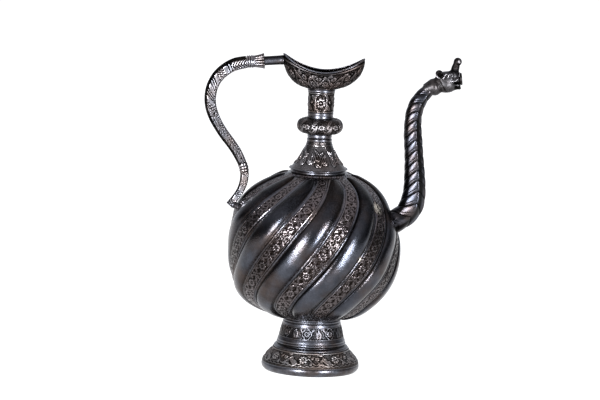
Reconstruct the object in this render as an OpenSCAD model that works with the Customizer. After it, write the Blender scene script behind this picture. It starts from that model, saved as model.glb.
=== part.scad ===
// Soldered metal ewer: a spiral-lobed globe on a flared foot, a knopped neck with a
// boat-shaped mouth, an S-shaped handle and a herringbone spout with an animal's head.
// Origin: centre of the foot on the resting plane. +X is the spout, -X the handle, +Z up.

/* [Metal] */
// Thickness of the raised sheet
wall = 1.5; // [1.2:0.1:1.8]
// Radius of the passage through the neck
bore_r = 10.5; // [9.5:0.1:10.8]

/* [Foot] */
// Largest radius of the foot's rolled rim
foot_r = 49; // [47:0.5:52]
// Height of the foot, from the resting plane to the globe
foot_h = 54; // [53.5:0.1:54.5]

/* [Globe] */
// Radius at the crest of the lobes
globe_r = 86; // [84:0.5:88]
// Height of the globe's widest level
globe_z = 127.3; // [126:0.1:129]
// Height at which the globe's crown meets the shoulder ring
crown_z = 199.5; // [198.5:0.1:200]
// Number of plain lobes, and of the chased bands between them
lobe_count = 10; // [8:1:12]
// Depth of the chased bands below the lobes' crests
lobe_depth = 2; // [1:0.1:2.5]
// Turn of the bands round the globe, in degrees for each millimetre of height
twist = 0.53; // [0.3:0.01:0.6]

/* [Knop] */
// Radius of the knop
knop_r = 22.5; // [20:0.5:24]
// Height of the knop's middle
knop_z = 246.6; // [246:0.1:247]

/* [Mouth] */
// Height at which the bowl leaves the neck
bowl_z = 284.5; // [284:0.1:285]
// Half the length of the bowl
bowl_a = 40.7; // [39.9:0.1:42]
// Half the width of the bowl
bowl_b = 14.5; // [14:0.1:18]
// Height of the rim at its lowest, over the middle of the long sides
rim_low_z = 302.4; // [301.5:0.1:304]
// Height of the rim's two raised ends
rim_high_z = 317.4; // [316.5:0.1:318]

/* [Handle] */
// Radius of the plain rod between the bowl and the handle
rod_r = 4.5; // [4:0.1:4.6]
// Radius of the stud between the handle's tail and the globe
stud_r = 3.6; // [3.4:0.1:3.8]

/* [Spout] */
// Radius of the spout's root where it goes through the globe
root_r = 12; // [11.5:0.1:12.3]
// Radius of the passage through the head
throat_r = 5; // [4.5:0.1:5.2]

/* [Hidden] */

$fn = 96;
polished = [0.42, 0.43, 0.46];
chased = [0.33, 0.30, 0.28];
soldering_gap = 0.03;

// ---- Foot levels, from the resting plane up ----
rim_top = 8;
skirt_top = 22.6;
lower_bead_top = 25.6;
upper_beads_top = 34;
collar_top = 46.5;

// ---- Neck levels ----
shoulder_top = 204.4;
cone_top = 231;
ring_pair_top = 239;
knop_half = knop_z - ring_pair_top;
knop_top = knop_z + knop_half;
knop_neck_r = bore_r + 1.2;
knop_fullness = 2.6;
knop_steps = 10;
band_top = 261;
tube_top = 281;
neck_r = 12.3;

// ---- Globe: two superellipse halves, fuller below than above ----
lower_half_h = 75.5;
lower_fullness = 2.68;
upper_half_h = 75.9;
upper_fullness = 2.18;
// Angle, from the front, of one band's centre line at the widest level
band_start = 6;
// Places across one band and one lobe, as shares of their pitch: half the band, then the lobe
lobe_stations = [0, 0.236, 0.32, 0.5, 0.68, 0.764];
globe_levels = 15;

function globe_profile(z, shrink = 0) =
    let (upper = z > globe_z)
    let (h = (upper ? upper_half_h : lower_half_h) - shrink)
    let (power = upper ? upper_fullness : lower_fullness)
    (globe_r - shrink) * pow(max(0.0001, 1 - pow(abs(z - globe_z) / h, power)), 1 / power);

// How far the surface lies under a lobe's crest: all of lobe_depth on the band, none on the crest
function lobe_drop(share) =
    let (from_band = abs(share - 0.5) / 0.264)
    lobe_depth * (from_band >= 1 ? 1 : 1 - pow(1 - pow(from_band, 2), 0.75));

function globe_ring(z, shrink = 0) =
    let (r = globe_profile(z, shrink))
    let (fade = sqrt(r / globe_r))
    [
        for (lobe = [0 : lobe_count - 1])
            for (share = lobe_stations)
                let (angle = band_start - 90 + twist * (z - globe_z) + (lobe + share) * 360 / lobe_count)
                let (reach = r - fade * lobe_drop(share))
                [reach * cos(angle), reach * sin(angle), z]
    ];

// ---- Mouth bowl: an ellipse at each level, cut off by a saddle-shaped rim ----
bowl_columns = 48;
bowl_levels = 9;
keel_start_a = 14;
keel_start_b = 13.4;
keel_rise = 27.5;
keel_fullness = 1.75;
wire_h = 1.2;
wire_lip = 0.3;

function bowl_half_length(z) =
    let (left = max(0, 1 - (z - bowl_z) / keel_rise))
    keel_start_a + (bowl_a - keel_start_a) * pow(1 - pow(left, keel_fullness), 1 / keel_fullness);

function bowl_half_width(z) =
    keel_start_b + (bowl_b - keel_start_b) * min(1, (z - bowl_z) / (rim_low_z - bowl_z));

// Share of the way up at each level, closer together where the keel bends most
function bowl_rise(level) = pow(level / bowl_levels, 1.6);

function rim_z(angle) = rim_low_z + (rim_high_z - rim_low_z) * pow(cos(angle), 2);

// One ring of the bowl: rise goes from 0 at the neck to 1 at the rim
function bowl_ring(rise, inset = 0, drop = 0, start_z = bowl_z) = [
    for (k = [0 : bowl_columns - 1])
        let (angle = 360 * k / bowl_columns)
        let (z = start_z + rise * (rim_z(angle) - drop - start_z))
        [
            (bowl_half_length(z) - inset) * cos(angle),
            (bowl_half_width(z) - inset) * sin(angle),
            z
        ]
];

// ---- Handle: rod and ferrule on one straight axis, then the bar's centre line ----
ferrule_at = [-58.3, 0, 309.3];
ferrule_turn = [0, -95.5, 0];
ferrule_len = 11;
ferrule_flare = 7.5;
ring_seat = 5.7;
socket_depth = 7.2;
rod_in_socket = 7;
ferrule_rings_end = 17.3;
rod_reach = 19.7;
// Centre line of the bar: x, z and the bar's height across it
bow_line = [
    [-75.4, 307.7, 11.6], [-86.7, 304.9, 12.3], [-95.7, 299.8, 12.2], [-103.4, 292.3, 12],
    [-108.4, 283, 11.8], [-110.4, 273.5, 11.5], [-110, 263.3, 11.2], [-107.2, 254, 10.8],
    [-102.7, 245, 10.4], [-96, 234.9, 10], [-88.8, 226, 9.7], [-82.9, 218, 9.4],
    [-78.4, 210.3, 9], [-76, 205.4, 8.8]
];
ring_count = 3;
ring_groove = 0.1;
ring_swell = 0.5;
collar_line = [[-76, 205.4, 8.8], [-74.4, 201.2, 8.6], [-73.7, 197.2, 8.4]];
tail_line = [
    [-73.7, 197.2, 8.4], [-73.4, 194, 8.3], [-74.2, 186, 8], [-77.1, 177.8, 7.5],
    [-81.6, 170.6, 7.1], [-87.5, 163, 6.9]
];
bar_steps = 3;
// Outline of the bar's chamfered section, as shares of its half height and half depth
bar_section = [
    [1, 0.5], [0.6, 1], [-0.6, 1], [-1, 0.5], [-1, -0.5], [-0.6, -1], [0.6, -1], [1, -0.5]
];
bar_depth = 0.8;
stud_at = [-84.4, 0, 164];
stud_turn = [0, 111.5, 0];
stud_len = 11.8;

// ---- Spout: centre line of the whole tube, x, z and outer diameter ----
spout_line = [
    [72.5, 149.5, 2 * root_r], [81.5, 155.2, 2 * root_r], [89.4, 161.2, 24], [94.8, 171, 24.8],
    [96.9, 185.4, 23.4], [96, 206, 20.8], [94.3, 226.2, 19.4], [92.5, 246.3, 18.4], [92.9, 261.4, 17.2],
    [95.9, 272.3, 16.3], [100.6, 280.2, 15], [107.4, 288.3, 13.4]
];
spout_steps = 5;
spout_sides = 16;
root_last = 4;
tube_last = 8;
root_axis = atan2(spout_line[1][1] - spout_line[0][1], spout_line[1][0] - spout_line[0][0]);

// ---- Head: its own axis starts where the spout ends and rises at this angle ----
head_at = [104.2, 0, 286.1];
head_rise = 22;
head_start = 3.75;
outlet_x = 137.4;
outlet_z = 299.6;
outlet_r = 5.9;
outlet_bore_r = 4.4;
outlet_h = 2.4;
// Along the head's axis, how far back the mouth's corner lies, and a reach past every piece of the head
mouth_corner = 25;
past_head = 40;
// The gape: the head's lower side and the jaw's upper side stay this far under the axis
gape = 0.2;
ear_at = [116.6, 6.2, 302.4];
ear_r = 3.8;
ear_hole_r = 2;
ear_h = 4.4;
ear_lean = 12;
brow_at = [122.4, 6.6, 301];
eye_at = [127, 6, 301.8];
eye_r = 1.9;

// ---- Curves and skins ----
function blend(a, b, c, d, t) =
    0.5 * (2 * b + (c - a) * t + (2 * a - 5 * b + 4 * c - d) * t * t + (3 * b - a - 3 * c + d) * t * t * t);

function before(line) = 2 * line[0] - line[1];

function after(line) = 2 * line[len(line) - 1] - line[len(line) - 2];

// Smooth curve through all the points of a line, with some steps between each two
function smooth(line, steps) =
    let (n = len(line))
    let (padded = concat([before(line)], line, [after(line)]))
    concat(
        [
            for (i = [0 : n - 2])
                for (k = [0 : steps - 1])
                    blend(padded[i], padded[i + 1], padded[i + 2], padded[i + 3], k / steps)
        ],
        [line[n - 1]]
    );

function direction(curve, i) =
    let (a = i == 0 ? curve[0] : curve[i - 1])
    let (b = i == len(curve) - 1 ? curve[i] : curve[i + 1])
    let (d = [b[0] - a[0], b[1] - a[1]])
    d / norm(d);

// A ring of points square to the curve at one of its stations
function section_ring(curve, i, outline, half_height, half_depth) =
    let (d = direction(curve, i))
    [
        for (p = outline)
            [
                curve[i][0] - d[1] * p[0] * half_height,
                p[1] * half_depth,
                curve[i][1] + d[0] * p[0] * half_height
            ]
    ];

function round_outline(sides) = [for (k = [0 : sides - 1]) [cos(360 * k / sides), sin(360 * k / sides)]];

// Two triangles for each cell between ring a and ring b
function band_faces(a, b, n) = [
    for (k = [0 : n - 1])
        let (next = (k + 1) % n)
        each [
            [a * n + k, b * n + k, b * n + next],
            [a * n + k, b * n + next, a * n + next]
        ]
];

// Closed solid from rings: looped joins the last ring to the first, otherwise both ends are capped
module skin(rings, looped = false) {
    n = len(rings[0]);
    m = len(rings);
    sides = [for (j = [0 : m - (looped ? 1 : 2)]) each band_faces(j, (j + 1) % m, n)];
    first_cap = [[for (k = [0 : n - 1]) k]];
    last_cap = [[for (k = [n - 1 : -1 : 0]) (m - 1) * n + k]];
    polyhedron(
        points = [for (ring = rings) each ring],
        faces = looped ? sides : concat(sides, first_cap, last_cap),
        convexity = 10
    );
}

// Turned shell of the sheet's thickness under an outer profile of [radius, height] points
module turned_shell(profile) {
    inner = [for (i = [len(profile) - 1 : -1 : 0]) [profile[i][0] - wall, profile[i][1]]];
    rotate_extrude()
        polygon(concat(profile, inner));
}

// Solid bar along a line of x, z and height
module bar(line) {
    curve = smooth(line, bar_steps);
    rings = [
        for (i = [0 : len(curve) - 1])
            section_ring(curve, i, bar_section, curve[i][2] / 2, bar_depth * curve[i][2] / 2)
    ];
    skin([for (i = [len(rings) - 1 : -1 : 0]) rings[i]]);
}

// Hollow length of the spout between two points of its line
module spout_length(first, last) {
    curve = smooth(spout_line, spout_steps);
    outline = round_outline(spout_sides);
    outer = [
        for (i = [first * spout_steps : last * spout_steps])
            section_ring(curve, i, outline, curve[i][2] / 2, curve[i][2] / 2)
    ];
    inner = [
        for (i = [last * spout_steps : -1 : first * spout_steps])
            section_ring(curve, i, outline, curve[i][2] / 2 - wall, curve[i][2] / 2 - wall)
    ];
    rings = concat(outer, inner);
    skin([for (i = [len(rings) - 1 : -1 : 0]) rings[i]], looped = true);
}

module at_head() {
    translate(head_at)
        rotate([0, -head_rise, 0])
            children();
}

// Ball on the head's own axes: u along the head, v above its axis
module head_ball(u, v, r, side = 0) {
    translate([u, side, v])
        sphere(r = r, $fn = 22);
}

module throat_bore() {
    at_head()
        rotate([0, 90, 0])
            cylinder(r = throat_r, h = 2 * past_head);
}

// ---- Foot ----
module foot_rim() {
    color(polished)
        rotate_extrude()
            polygon([
                [foot_r - 5, 0], [foot_r - 2.8, 0], [foot_r - 1, 1.6], [foot_r - 0.2, 3.4],
                [foot_r, 5], [foot_r - 0.5, rim_top], [foot_r - 2.4, rim_top], [foot_r - 3.4, 4]
            ]);
}

module foot_skirt() {
    color(chased)
        turned_shell([
            [foot_r - 0.8, rim_top], [foot_r - 1.3, 10], [foot_r - 3.4, 13], [foot_r - 6.2, 16],
            [foot_r - 9, 19.2], [foot_r - 11.4, skirt_top]
        ]);
}

module foot_lower_bead() {
    color(polished)
        rotate_extrude()
            polygon([
                [33.2, skirt_top], [37.2, skirt_top], [37.5, 23.4], [36.9, 24.6],
                [35.4, lower_bead_top], [33.2, lower_bead_top]
            ]);
}

module foot_upper_beads() {
    color(polished)
        rotate_extrude()
            polygon([
                [31.2, lower_bead_top], [33.6, lower_bead_top], [33.6, 26.6], [34.6, 27.4], [34.7, 28.6],
                [33.7, 29.6], [34, 30.6], [33.4, 32.2], [32.5, upper_beads_top], [30.6, upper_beads_top]
            ]);
}

module foot_collar() {
    color(chased)
        turned_shell([[32.4, upper_beads_top], [31.5, 37.5], [30.7, 41], [29.4, collar_top]]);
}

module foot_top_ring() {
    color(polished)
        rotate_extrude()
            polygon([
                [24, collar_top], [29.3, collar_top], [29, 49], [28.2, 49.6], [28.9, 50.4],
                [28.9, 51.4], [28.2, 52], [28.4, foot_h], [24, foot_h]
            ]);
}

// ---- Globe ----
module globe_lower() {
    outer = [
        for (j = [0 : globe_levels])
            globe_ring(globe_z - (globe_z - foot_h) * cos(90 * j / globe_levels))
    ];
    inner = [
        for (j = [globe_levels : -1 : 0])
            globe_ring(globe_z - (globe_z - foot_h - wall) * cos(90 * j / globe_levels), wall)
    ];
    color(chased)
        skin(concat(outer, inner));
}

module spout_hole() {
    translate([spout_line[0][0], 0, spout_line[0][1]])
        rotate([0, 90 - root_axis, 0])
            cylinder(r = root_r + soldering_gap, h = 30, center = true);
}

module stud_hole() {
    translate(stud_at)
        rotate(stud_turn)
            cylinder(r = stud_r + soldering_gap, h = 2 * stud_len, center = true);
}

module globe_upper() {
    rise = crown_z - globe_z;
    outer = [for (j = [0 : globe_levels]) globe_ring(globe_z + rise * sin(90 * j / globe_levels))];
    inner = [
        for (j = [globe_levels : -1 : 0])
            globe_ring(globe_z + rise * sin(90 * j / globe_levels), wall)
    ];
    color(chased)
        difference() {
            skin(concat(outer, inner), looped = true);
            spout_hole();
            stud_hole();
        }
}

// ---- Neck ----
module shoulder_ring() {
    color(polished)
        rotate_extrude()
            polygon([
                [24.4, crown_z], [26.5, crown_z], [27.3, 200.3], [27.5, 201.2], [27.2, 202.1],
                [26.4, 202.9], [29.5, 203.3], [29.6, 204], [28.6, shoulder_top], [24.4, shoulder_top]
            ]);
}

module neck_cone() {
    color(chased)
        turned_shell([
            [27.4, shoulder_top], [25.2, 207], [22.8, 210], [20.4, 213], [18.5, 216], [17, 219],
            [15.5, 222], [14.2, 225], [13.1, 228], [neck_r, cone_top]
        ]);
}

module neck_ring_pair() {
    color(polished)
        rotate_extrude()
            polygon([
                [bore_r, cone_top], [11.9, cone_top], [12.5, 231.8], [12.5, 233.6], [11.5, 234.6],
                [12.3, 235.4], [12.3, 237.8], [11.8, ring_pair_top], [bore_r, ring_pair_top]
            ]);
}

// Half outline of the hollow knop, from its neck to its widest level
function knop_curve(edge_r, half_h) = [
    for (k = [0 : knop_steps])
        let (h = half_h * cos(90 * k / knop_steps))
        [
            knop_neck_r + (edge_r - knop_neck_r) * pow(1 - pow(h / half_h, knop_fullness), 1 / knop_fullness),
            -h
        ]
];

module knop_half_shell() {
    outer = knop_curve(knop_r, knop_half);
    inner = knop_curve(knop_r - wall, knop_half - wall);
    rotate_extrude()
        polygon(concat(
            [[bore_r, -knop_half]], outer,
            [for (k = [knop_steps : -1 : 0]) inner[k]],
            [[bore_r, wall - knop_half]]
        ));
}

module knop_lower() {
    color(chased)
        translate([0, 0, knop_z])
            knop_half_shell();
}

module knop_upper() {
    color(chased)
        translate([0, 0, knop_z])
            mirror([0, 0, 1])
                knop_half_shell();
}

module neck_band() {
    color(polished)
        rotate_extrude()
            polygon([
                [bore_r, knop_top], [12.5, knop_top], [12.9, 255.4], [12.6, 257.4], [12.9, 258.4],
                [12.9, 260.2], [12.3, band_top], [bore_r, band_top]
            ]);
}

module neck_tube() {
    color(chased)
        rotate_extrude()
            polygon([
                [bore_r, band_top], [neck_r + 0.4, band_top], [neck_r + 0.5, 268], [neck_r + 0.5, 275],
                [neck_r + 0.9, tube_top], [bore_r, tube_top]
            ]);
}

module throat_bead() {
    color(polished)
        rotate_extrude()
            polygon([
                [bore_r, tube_top], [13.2, tube_top], [13.9, 281.8], [13.9, 283], [13.2, bowl_z],
                [bore_r, bowl_z]
            ]);
}

// ---- Mouth ----
module mouth_bowl() {
    floor_z = bowl_z + wall;
    hole_low = [for (p = round_outline(bowl_columns)) [bore_r * p[0], bore_r * p[1], bowl_z]];
    hole_high = [for (p = hole_low) p + [0, 0, wall]];
    outer = [for (j = [0 : bowl_levels]) bowl_ring(bowl_rise(j), 0, wire_h)];
    inner = [for (j = [bowl_levels : -1 : 0]) bowl_ring(bowl_rise(j), wall, wire_h, floor_z)];
    color(chased)
        difference() {
            skin(concat([hole_low], outer, inner, [hole_high]), looped = true);
            translate(ferrule_at)
                rotate(ferrule_turn)
                    translate([0, 0, -rod_reach])
                        cylinder(r = rod_r + soldering_gap, h = rod_reach);
        }
}

module mouth_rim() {
    color(polished)
        skin([
            bowl_ring(1, -wire_lip, wire_h),
            bowl_ring(1, -wire_lip, 0),
            bowl_ring(1, wall, 0),
            bowl_ring(1, wall, wire_h)
        ], looped = true);
}

// ---- Handle ----
module handle_rod() {
    color(polished)
        translate(ferrule_at)
            rotate(ferrule_turn)
                translate([0, 0, -rod_reach])
                    cylinder(r = rod_r, h = rod_reach + rod_in_socket);
}

module handle_ferrule() {
    color(chased)
        translate(ferrule_at)
            rotate(ferrule_turn)
                difference() {
                    cylinder(r1 = ferrule_flare, r2 = ring_seat, h = ferrule_len);
                    translate([0, 0, -1])
                        cylinder(r = rod_r + soldering_gap, h = socket_depth + 1);
                }
}

module handle_ferrule_rings() {
    color(polished)
        translate(ferrule_at)
            rotate(ferrule_turn)
                rotate_extrude()
                    polygon([
                        [0, ferrule_len], [ring_seat, ferrule_len], [6.3, 11.6], [6.3, 12.6], [5.5, 13.2],
                        [6.2, 13.8], [6.2, 15], [5.5, 15.5], [6.2, 16.1], [6.2, 16.8],
                        [5.8, ferrule_rings_end], [0, ferrule_rings_end]
                    ]);
}

module handle_bow() {
    color(chased)
        bar(bow_line);
}

// Raised rings side by side, from one bar thinned between them along its length
module handle_collar_rings() {
    ring_line = smooth(collar_line, 10);
    outline = round_outline(spout_sides);
    rings = [
        for (i = [0 : len(ring_line) - 1])
            let (swell = ring_groove + ring_swell * abs(sin(180 * ring_count * i / (len(ring_line) - 1))))
            section_ring(
                ring_line, i, outline,
                ring_line[i][2] / 2 + swell,
                ring_line[i][2] / 2 * bar_depth + swell
            )
    ];
    color(polished)
        skin([for (i = [len(rings) - 1 : -1 : 0]) rings[i]]);
}

module handle_tail() {
    color(chased)
        difference() {
            bar(tail_line);
            stud_hole();
        }
}

module handle_stud() {
    color(polished)
        translate(stud_at)
            rotate(stud_turn)
                cylinder(r = stud_r, h = stud_len);
}

// ---- Spout ----
module spout_root() {
    color(polished)
        spout_length(0, root_last);
}

module spout_tube() {
    color(polished)
        spout_length(root_last, tube_last);
}

module spout_neck() {
    color(polished)
        spout_length(tube_last, len(spout_line) - 1);
}

// ---- Head ----
module head_outside() {
    at_head() {
        hull() {
            head_ball(6.5, 0.6, 6.6);
            head_ball(10, 0.5, 8);
            head_ball(14.5, 0.4, 7);
        }
        hull() {
            head_ball(16, 0, 7);
            head_ball(20.5, -0.2, 8.2);
            head_ball(22, 5.5, 6.8);
            head_ball(30.5, 1.5, 6);
            head_ball(30, 6.5, 5);
        }
    }
}

module dragon_head() {
    color(polished)
        difference() {
            head_outside();
            throat_bore();
            at_head() {
                translate([head_start - past_head, -past_head / 2, -past_head / 2])
                    cube(past_head);
                translate([mouth_corner, -past_head / 2, -past_head - gape])
                    cube(past_head);
            }
        }
}

// The room that the head takes: all behind the mouth's corner, and above the gape in front of it
module head_room() {
    at_head() {
        translate([mouth_corner - past_head, -past_head / 2, -past_head / 2])
            cube(past_head);
        translate([mouth_corner - 1, -past_head / 2, -gape])
            cube(past_head);
    }
}

module dragon_jaw() {
    color(polished)
        difference() {
            at_head()
                hull() {
                    head_ball(23, -2.3, 5.9);
                    head_ball(29, -3.4, 4.6);
                    head_ball(33.4, -6.6, 1.6);
                }
            throat_bore();
            head_room();
        }
}

module dragon_snout() {
    color(polished)
        difference() {
            at_head() {
                hull() {
                    head_ball(33.6, 8.2, 4);
                    head_ball(36, 12, 3.2);
                }
                hull() {
                    head_ball(36, 12, 3.2);
                    head_ball(39.4, 16.6, 3.7);
                }
            }
            head_outside();
        }
}

module dragon_ears() {
    color(polished)
        difference() {
            for (side = [-1, 1])
                translate([ear_at[0], side * ear_at[1], ear_at[2]])
                    rotate([90 - side * ear_lean, 0, 0])
                        difference() {
                            cylinder(r = ear_r, h = ear_h, center = true);
                            cylinder(r = ear_hole_r, h = 2 * ear_h, center = true);
                        }
            head_outside();
        }
}

// Two small bosses on each side: the brow behind and the eye before it
module dragon_eyes() {
    color(polished)
        difference() {
            for (side = [-1, 1])
                for (boss = [brow_at, eye_at])
                    translate([boss[0], side * boss[1], boss[2]])
                        sphere(r = eye_r, $fn = 24);
            head_outside();
        }
}

module outlet_ring() {
    color(polished)
        translate([outlet_x, 0, outlet_z])
            rotate([0, 90, 0])
                difference() {
                    cylinder(r = outlet_r, h = outlet_h);
                    translate([0, 0, -outlet_h])
                        cylinder(r = outlet_bore_r, h = 3 * outlet_h);
                }
}

foot_rim();
foot_skirt();
foot_lower_bead();
foot_upper_beads();
foot_collar();
foot_top_ring();
globe_lower();
globe_upper();
shoulder_ring();
neck_cone();
neck_ring_pair();
knop_lower();
knop_upper();
neck_band();
neck_tube();
throat_bead();
mouth_bowl();
mouth_rim();
handle_rod();
handle_ferrule();
handle_ferrule_rings();
handle_bow();
handle_collar_rings();
handle_tail();
handle_stud();
spout_root();
spout_tube();
spout_neck();
dragon_head();
dragon_jaw();
dragon_snout();
dragon_ears();
dragon_eyes();
outlet_ring();
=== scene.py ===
"""Looks of the spiral-lobed ewer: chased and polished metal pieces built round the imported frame."""
import bpy
import math
import numpy as np
from mathutils import Matrix, Vector


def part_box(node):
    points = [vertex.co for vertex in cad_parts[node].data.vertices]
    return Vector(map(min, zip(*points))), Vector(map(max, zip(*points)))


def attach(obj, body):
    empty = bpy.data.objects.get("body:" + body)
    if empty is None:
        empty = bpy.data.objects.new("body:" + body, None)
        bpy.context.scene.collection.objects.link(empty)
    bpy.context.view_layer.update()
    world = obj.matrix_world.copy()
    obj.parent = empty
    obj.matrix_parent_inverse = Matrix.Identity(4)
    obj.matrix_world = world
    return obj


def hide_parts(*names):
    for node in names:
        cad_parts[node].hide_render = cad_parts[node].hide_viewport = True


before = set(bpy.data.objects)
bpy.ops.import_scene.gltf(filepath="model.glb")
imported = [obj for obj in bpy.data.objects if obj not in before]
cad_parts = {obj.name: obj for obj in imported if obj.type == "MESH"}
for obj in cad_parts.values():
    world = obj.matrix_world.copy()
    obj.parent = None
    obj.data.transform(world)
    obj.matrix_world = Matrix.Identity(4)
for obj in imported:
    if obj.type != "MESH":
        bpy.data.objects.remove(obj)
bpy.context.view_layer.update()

MM = 0.001
FRONT = -np.pi / 2  # the camera's side, as an angle round the axis from +X


# ---------------------------------------------------------------- the frame's own sizes
def points(node):
    """A CAD node's vertices, in millimetres."""
    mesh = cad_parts[node].data
    co = np.empty(len(mesh.vertices) * 3)
    mesh.vertices.foreach_get("co", co)
    return co.reshape(-1, 3) / MM


def levels(node):
    """Lowest and highest z of a CAD node, in millimetres."""
    lo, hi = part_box(node)
    return lo[2] / MM, hi[2] / MM


def outline(node, step=0.1):
    """Outer profile of a turned CAD node as heights and radii."""
    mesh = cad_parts[node].data
    edges = np.empty(len(mesh.edges) * 2, dtype=int)
    mesh.edges.foreach_get("vertices", edges)
    co = points(node)
    radius, height = np.hypot(co[:, 0], co[:, 1]), co[:, 2]
    a, b = edges.reshape(-1, 2).T
    low, high = levels(node)
    zs = np.linspace(low + 0.001, high - 0.001, max(4, int((high - low) / step)))
    rs = []
    for z in zs:
        cross = (np.minimum(height[a], height[b]) <= z) & (np.maximum(height[a], height[b]) >= z)
        cross &= np.abs(height[a] - height[b]) > 1e-4
        share = (z - height[a][cross]) / (height[b][cross] - height[a][cross])
        rs.append((radius[a][cross] + share * (radius[b][cross] - radius[a][cross])).max())
    return zs, np.array(rs)


wall = 1.5
foot_rim_top = levels("foot_rim")[1]
globe_bottom, globe_mid = levels("globe_lower")
crown = levels("globe_upper")[1]
globe_r = np.hypot(*points("globe_lower")[:, :2].T).max()
bowl_bottom, rim_high = levels("mouth_bowl")[0], levels("mouth_rim")[1]
rim_low = levels("mouth_rim")[0]
bowl_half_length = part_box("mouth_rim")[1][0] / MM
bowl_half_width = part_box("mouth_rim")[1][1] / MM


# ---------------------------------------------------------------- curves
def dome(distance, half_width):
    """Round section of a raised line: 1 in the middle, 0 at half_width."""
    return np.sqrt(np.clip(1 - (distance / half_width) ** 2, 0, 1))


def smooth_step(value, low, high):
    """0 below low, 1 above high, smooth between."""
    t = np.clip((value - low) / (high - low), 0, 1)
    return t * t * (3 - 2 * t)


def bump(value, at, width):
    """Soft bump of height 1 at one value."""
    return np.exp(-((value - at) / width) ** 2)


def run(x, y):
    """Distance along a line of points, from its first one."""
    return np.concatenate([[0], np.cumsum(np.hypot(np.diff(x), np.diff(y)))])


def circle(count):
    """Angles of one turn."""
    return np.linspace(0, 2 * np.pi, count, endpoint=False)


def turned_points(radius, angle, height, back=0.0):
    """Points round the axis, moved back towards the handle."""
    return np.stack([radius * np.cos(angle) - back, radius * np.sin(angle), height], -1)


def outward(z, r, s):
    """The direction square to a turned profile, as its shares away from the axis and up."""
    out_r, out_z = np.gradient(z, s), -np.gradient(r, s)
    norm = np.hypot(out_r, out_z)
    return out_r / norm, out_z / norm


# ---------------------------------------------------------------- meshes
def grid_faces(m, n, looped):
    """Quads between m rings of n points; looped joins the last ring to the first."""
    j = np.arange(m if looped else m - 1)[:, None]
    k = np.arange(n)[None, :]
    up, right = (j + 1) % m, (k + 1) % n
    return np.stack([j * n + k, j * n + right, up * n + right, up * n + k], -1).reshape(-1, 4)


def signed_volume(verts, quads):
    """Six times the volume that the quads close in, negative if they face inwards."""
    a, b, c, d = (verts[quads[:, i]] for i in range(4))
    return (np.einsum("ij,ij->i", a, np.cross(b, c)) + np.einsum("ij,ij->i", a, np.cross(c, d))).sum()


def point_values(mesh, name, values):
    """Writes one number per vertex, which the metals read as an attribute."""
    mesh.attributes.new(name, "FLOAT", "POINT").data.foreach_set("value", values.ravel().astype(np.float32))


def make_mesh(name, verts, faces, relief=None, sharp=50):
    """Smooth-shaded object from vertices in millimetres, with edges sharper than sharp degrees kept."""
    mesh = bpy.data.meshes.new(name)
    mesh.from_pydata((verts * MM).tolist(), [], faces)
    mesh.polygons.foreach_set("use_smooth", [True] * len(mesh.polygons))
    if relief is not None:
        point_values(mesh, "relief", relief)
    mesh.update()
    if sharp:
        mesh.set_sharp_from_angle(angle=math.radians(sharp))
    obj = bpy.data.objects.new(name, mesh)
    bpy.context.scene.collection.objects.link(obj)
    return obj


def grid_piece(name, rows, nodes, slot, relief, looped=True, sharp=50):
    """Closed piece from rings: looped joins the last ring to the first, else the ends are capped."""
    m, n = rows.shape[:2]
    verts = rows.reshape(-1, 3)
    quads = grid_faces(m, n, looped)
    flip = signed_volume(verts, quads) < 0
    faces = (quads[:, ::-1] if flip else quads).tolist()
    value = relief.reshape(-1)
    if not looped:
        first, last = len(verts), len(verts) + 1
        verts = np.vstack([verts, rows[0].mean(0), rows[-1].mean(0)])
        value = np.append(value, [value[0], value[-1]])
        for k in range(n):
            right = (k + 1) % n
            ends = [[first, right, k], [last, (m - 1) * n + k, (m - 1) * n + right]]
            faces += [end[::-1] for end in ends] if flip else ends
    return finish_piece(make_mesh(name, verts, faces, value, sharp), nodes, slot)


def finish_piece(obj, nodes, slot):
    """Gives a piece its metal and its place on the body, and hides the CAD nodes that it stands for."""
    obj.data.materials.append(metals[slot])
    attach(obj, "root")
    if nodes:
        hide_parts(*nodes)
    return obj


# ---------------------------------------------------------------- materials
bare_brass = (0.8, 0.75, 0.64)
fine_marks, punch_pits = 900.0, 1150.0  # scales of their noise
scratch_stretch = (260.0, 260.0, 3200.0)


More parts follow.
